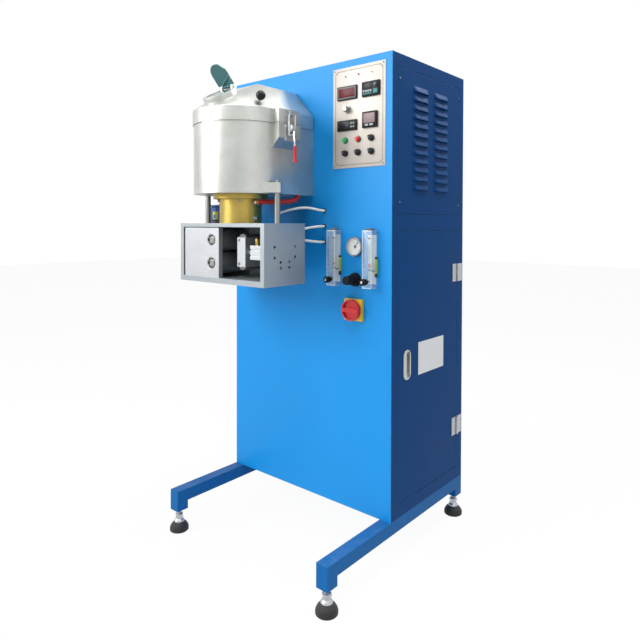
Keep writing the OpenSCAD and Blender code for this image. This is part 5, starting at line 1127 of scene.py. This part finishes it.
def buildDial(s):
    x, z = s["centre"]
    start, end = s["turn"]
    shape = bmesh.new()
    radius = s["radius"]
    addTurned(shape, at(x, -3.05, z), -axisY, [(6.4, 0), (radius, 0), (radius, 0.35), (6.4, 0.35), (6.4, 0)], 64)
    addTurned(shape, at(x, -10.4, z), -axisY, [(0, 0), (25.9, 0), (25.9, 0.7), (18, 1.1), (0, 1.2)], 64, 1)
    addTurned(shape, at(x, 0, z), -axisY, [(29.6, 0), (31.5, 0), (31.5, 1.6), (30.8, 2.2), (29.6, 2.2), (29.6, 0)],
        64, 2)
    step = (end - start) / (len(s["numbers"]) - 1)
    for i, word in enumerate(s["numbers"]):
        angle = math.radians(-(start + step * i))
        words = bpy.data.curves.new("dialNumber", "FONT")
        words.body = word
        words.size = s["letter"] * mm
        words.extrude = 0.12 * mm
        words.align_x, words.align_y = "CENTER", "CENTER"
        holder = putIn("dialNumber", words)
        bpy.context.view_layer.update()
        mesh = bpy.data.meshes.new_from_object(holder.evaluated_get(bpy.context.evaluated_depsgraph_get()))
        middle = at(x + s["letterRing"] * math.cos(angle), -3.5, z + s["letterRing"] * math.sin(angle))
        mesh.transform(Matrix.Translation(middle) @ Matrix.Rotation(math.radians(90), 4, "X"))
        for polygon in mesh.polygons:
            polygon.material_index = 3
        shape.from_mesh(mesh)
        bpy.data.objects.remove(holder)
    closeShape(shape, "gaugeDial", [dialWhite, clearLens, darkSteel, engraved])
    marks = []
    for i in range(s["ticks"]):
        angle = math.radians(-(start + (end - start) * i / (s["ticks"] - 1)))
        long = 1.8 if i % 8 == 0 else 1.0
        out = s["tickRing"] - long * 1.2
        marks.append((at(x + out * math.cos(angle), -3.45, z + out * math.sin(angle)), (0, -angle, 0),
                      (long, 1, 1.5 if long > 1 else 1)))
    drawTicks("gaugeTicks", marks, {"Tick Length": 0.0024, "Tick Width": 0.0001, "Tick Height": 0.0005})


buildDial(dial)
scatter("isolatorRim", [(at(562.5, -21.5, 777), axisY)], ribTree,
    {"Ribs": 44, "Ring Radius": 0.0328, "Rib Length": 0.010, "Rib Radius": 0.0007, "Finish": redPlastic},
    "isolator")
print("made: flow meters, gauge and isolator rim")

# fittings: caps, bonnets, push-in couplings, jacket screws, water ports and the inlets at the back
ports = {"push": ((345, -125, 1048.6, axisZ, 12), (392, -98.5, 1028, axisY, 12), (392, -98.5, 997, axisY, 12),
                  (365, -235.5, 980.1, axisZ, 24)),
         "jacket": 1121.4, "jacketRadius": 68.1, "portZ": 1116.5, "drainZ": 1065, "inletZ": 270,
         "inlets": ((119.7, 7), (189.7, 7), (499.8, 5), (599.9, 13)), "back": 458,
         "cap": [(0, 0), (13, 0), (13, 3.6), (12.2, 4.8), (10.6, 5.6), (6, 6), (0, 6)],
         "bonnet": [(3.6, 0), (7, 0), (7, 4.0), (6.3, 5), (3.6, 5), (3.6, 0)]}


def buildFittings(s):
    shape = bmesh.new()
    for x in meters["columns"]:
        addTurned(shape, at(x, meters["tubeY"], meters["high"]), axisZ, s["cap"], 44, 2)
        addTurned(shape, at(x, -meters["deep"], meters["valveZ"]), -axisY, s["bonnet"], 36, 3)
    for x, y, z, out, n in s["push"]:
        # hexagon, round body and release ring of a coupling, each as shares of its length
        addTurned(shape, at(x, y, z), out, [(4.15, 0), (7.2, 0), (7.2, n * 0.46), (4.15, n * 0.46), (4.15, 0)], 6)
        for start, wide, tall, rim, top, slot in ((0.46, 6.2, 0.34, 5.4, 0.42, 0), (0.84, 5.6, 0.12, 5.0, 0.16, 3)):
            addTurned(shape, at(x, y, z) + out * n * start * mm, out,
                      [(4.15, 0), (wide, 0), (wide, n * tall), (rim, n * top), (4.15, n * top), (4.15, 0)], 32, slot)
    head, low = at(*headAxis, s["portZ"]), at(*headAxis, s["drainZ"])
    for place, steps, profile in (
            (head + axisX * 0.0683, 6, [(0, 0), (10.4, 0), (10.4, 6.2), (9.6, 7), (0, 7)]),
            (head + axisX * 0.0753, 32, [(0, 0), (7.2, 0), (8.4, 1), (7.4, 4.6), (0, 4.7)]),
            (low + axisX * 0.0675, 32, [(0, 0), (6.6, 0), (6.6, 2.4), (5.6, 3.4), (3.4, 3.6), (3.2, 1.6), (0, 1.6)])):
        addTurned(shape, place, axisX, profile, steps, 1)
    for x, radius in s["inlets"]:
        ring = 2 if radius > 10 else 0
        place = at(x, s["back"], s["inletZ"])
        addTurned(shape, place, axisY,
            [(0, 0), (radius * 1.34, 0), (radius * 1.34, 7.2), (radius * 1.2, 8), (0, 8)], 6, ring)
        ribs = [(0, 7.9)]
        for k in range(4):
            ribs += [(radius * 0.84, 8 + k * 4), (radius, 8.6 + k * 4), (radius * 0.84, 11.6 + k * 4)]
        ribs += [(radius * 0.8, 24), (radius * 0.5, 24), (radius * 0.5, 12), (0, 12)]
        addTurned(shape, place, axisY, ribs, 36, 3 if ring else 0)
    closeShape(shape, "fittings", [turnedBrass, chromed, greyPlastic, blackPlastic], "frame", ("fittings",))
    around = [Vector((math.cos(math.radians(a)), math.sin(math.radians(a)), 0)) for a in (-135, -45, 45, 135)]
    scatter("jacketScrews", [(at(*headAxis, s["jacket"]) + d * s["jacketRadius"] * mm, d) for d in around], screwTree,
            {"Head Radius": 0.005, "Head Height": 0.0062, "Socket Radius": 0.0027, "Socket Depth": 0.0035,
             "Finish": polishedSteel})


buildFittings(ports)

# tubes and the water hose are swept along smooth curves through the CAD's own points
hoses = {
    "airTop": (4, ((345, -125, 1060.6), (345, -125, 1072), (347, -120, 1081), (354, -104, 1088), (368, -76, 1096),
        (386, -48, 1100), (406, -28, 1098), (424, -16, 1093), (435, -9, 1091.2), (435, 8, 1091.2),
        (435, 22, 1091.2))),
    "airMiddle": (4, ((392, -86.5, 1028), (392, -76, 1028), (396, -64, 1030), (406, -48, 1034), (418, -34, 1037),
        (429, -21, 1039), (435, -9, 1039.6), (435, 8, 1039.6), (435, 22, 1039.6))),
    "airLow": (4, ((392, -86.5, 997), (392, -76, 997), (396, -64, 995), (406, -48, 992), (418, -34, 990),
        (429, -21, 988.4), (435, -9, 988), (435, 8, 988), (435, 22, 988))),
    "waterHose": (8, ((315, -187.5, 1116.5), (324, -187.5, 1116.5), (334, -182, 1116.6), (343, -170, 1117),
        (351, -153, 1117.4), (360, -132, 1118.2), (367, -112, 1119.4), (371, -92, 1121.5), (372, -77, 1126),
        (372, -67, 1131), (372, -62, 1137), (372, -62, 1150), (372, -62, 1160)))}


def sweepHose(name, radius, points):
    curve = bpy.data.curves.new(name, "CURVE")
    curve.dimensions = "3D"
    spline = curve.splines.new("BEZIER")
    spline.bezier_points.add(len(points) - 1)
    for knot, point in zip(spline.bezier_points, points):
        knot.co = at(*point)
        knot.handle_left_type = knot.handle_right_type = "AUTO"
    spline.resolution_u = 10
    path = putIn(name + "Path", curve)
    giveTree(path, hoseTree, {"Hose Radius": radius * mm, "Sides": 28, "Ring Spacing": 0.0025, "Finish": hoseWhite})
    mesh = bpy.data.meshes.new_from_object(path.evaluated_get(bpy.context.evaluated_depsgraph_get()))
    bpy.data.objects.remove(path)
    return mesh


joined = bmesh.new()
for name, (radius, points) in hoses.items():
    swept = sweepHose(name, radius, points)
    for polygon in swept.polygons:
        polygon.material_index = 1 if name == "waterHose" else 0
    joined.from_mesh(swept)
# band clamp on the water hose, with its screw block
hoseBand = {"place": (317, -187.5, 1116.5), "ring": (8.1, 9.8, 7),
    "block": ((317.5, -183, 1123.6), (322.5, -178.5, 1128))}
addTurned(joined, at(*hoseBand["place"]), axisX, bandOf(*hoseBand["ring"]), 40, 2)
addBlock(joined, *hoseBand["block"], 0.6, 2)
closeShape(joined, "hoses", [hoseWhite, hoseRed, chromed], "frame", ("hoses",))
print("made: fittings and hoses")

# feed motor with blank plates and its cable plug
motor = {"x": 70.5, "y": -132.5, "wide": 60, "low": 1048.6, "high": 64, "plug": 8, "fins": 6, "firstFin": 13,
    "finPitch": 6.6,
    "plates": ((-12, 1.2, 13, 16, 2.4, 41, 1), (-9, 1.0, 17, 2, 1.6, 30, 2), (-12, 1.2, 43, 16, 2.4, 53, 2))}


def buildMotor(s):
    shape = bmesh.new()
    half, x, y, z, plug = s["wide"] / 2, s["x"], s["y"], s["low"], s["plug"]
    top = z + s["high"]
    addBlock(shape, (x - half, y - half, z), (x + half, y + half, z + 9), 1.6, 3)
    addBlock(shape, (x - half + 2, y - half + 2, z + 8.8), (x + half - 2, y + half - 2, top - 8), 5, steps=4)
    addBlock(shape, (x - half, y - half, top - 8.2), (x + half, y + half, top), 2.4, steps=3)
    for side in (-1, 1):
        middle = x + side * (half - 1.6)
        for k in range(s["fins"]):
            low = z + s["firstFin"] + k * s["finPitch"]
            addBlock(shape, (middle - 0.9, y - half + 8, low), (middle + 0.9, y + half - 8, low + 2.6), 0.4)
    for x0, y0, z0, x1, y1, z1, slot in s["plates"]:
        addBlock(shape, (x + x0, y - half + y0, z + z0), (x + x1, y - half + y1, z + z1), 0.2, slot)
    addTurned(shape, at(x, y, top), axisZ, [(0, -1), (plug, -1), (plug, 3), (plug - 1, 4.4), (plug - 1.4, 9.6),
                                            (plug - 2.4, 12), (0, 12)], 36, 4)
    addTurned(shape, at(x, y, z), -axisZ, softProfile(6, 29.5, 0.6), 32, 3)
    closeShape(shape, "feedMotor", [motorBlue, stripYellow, paleBlue, darkSteel, blackPlastic], "frame",
        ("drive_motor",))


buildMotor(motor)

# bearings, snap rings and slotted nuts in the two round windows of the bearing block
bearings = {"x": 192.5,
    "windows": (("roller_upper", "rollerUpperNut", 995.1), ("roller_lower", "rollerLowerNut", 921.1)),
    "floor": -266.5, "outer": 19.7, "snap": (205, 515), "snapRadius": 17.4}


def buildBearings(s):
    shape = bmesh.new()
    start, end = s["snap"]
    outer, inner = s["outer"], s["snapRadius"]
    onFace = pointMap(Vector(), -axisY, axisX)
    for body, name, z in s["windows"]:
        place = at(s["x"], s["floor"] + 0.05, z)
        addTurned(shape, place, -axisY, bandOf(14.6, 16.2, 1.5), 56, 1)
        addTurned(shape, place, -axisY,
            [(16.2, 0), (outer, 0), (outer, 2.8), (outer - 0.5, 3.2), (16.8, 3.2), (16.2, 2.8), (16.2, 0)], 56)
        ring = arcPoints(0, 0, 19.8, start, end, 44) + arcPoints(0, 0, inner, end, start, 44)
        addPrism(shape, ring, at(s["x"], s["floor"] - 5.0, z), -axisY, axisX, 1.4, 0.2, 2)
        for turn in s["snap"]:
            a = math.radians(turn)
            ear = at(s["x"], s["floor"] - 4.9, z) + onFace(inner * math.cos(a), inner * math.sin(a), 0)
            addTurned(shape, ear, -axisY, bandOf(0.9, 2.4, 1.6), 20, 2)
    closeShape(shape, "bearingRaces", [blackRubber, darkSteel, zincSteel])
    notched = []
    for base in (0, 90, 180, 270):
        notched += arcPoints(0, 0, 13.4, base + 14, base + 76, 10)
        notched += [(10.6 * math.cos(a), 10.6 * math.sin(a)) for a in (math.radians(base + 76),
            math.radians(base + 104))]
    for body, name, z in s["windows"]:
        nut = bmesh.new()
        addPrism(nut, notched, at(s["x"], -269.7, z), -axisY, axisX, 2.6, 0.3)
        addTurned(nut, at(s["x"], -271.4, z), -axisY,
            [(3, 0), (9.4, 0), (9.4, 1.4), (8.6, 2), (3, 2), (2, 0.4), (3, 0)], 40)
        closeShape(nut, name, [polishedSteel], body)


buildBearings(bearings)

# melting core: potted coil, graphite crucible with its die, copper leads
core = {"leads": ((205, 1240), (265, 1290)),
    "coil": [(24.6, 1147), (138, 1147), (138, 1347), (135, 1350), (69, 1350), (66, 1347), (66, 1165.2),
        (24.6, 1165.2), (24.6, 1147)],
    "crucible": [(6, 1063), (22.5, 1063), (24, 1065), (24, 1165.3), (62, 1165.3), (62, 1333), (60, 1335.3),
        (50, 1335.3), (48, 1333), (48, 1190), (44, 1182), (6, 1180), (6, 1063)]}


def buildCore(s):
    shape = bmesh.new()
    place = at(*headAxis, 0)
    addTurned(shape, place, axisZ, s["coil"], 72)
    addTurned(shape, place, axisZ, s["crucible"], 64, 1)
    for x, z in s["leads"]:
        addTurned(shape, at(x, 60, z), -axisY, bandOf(3.6, 6, 178), 32, 2)
    closeShape(shape, "meltingCore", [refractory, darkGraphite, copperTube], "frame", ("furnace_core",))


buildCore(core)
print("made: motor, bearings and core")

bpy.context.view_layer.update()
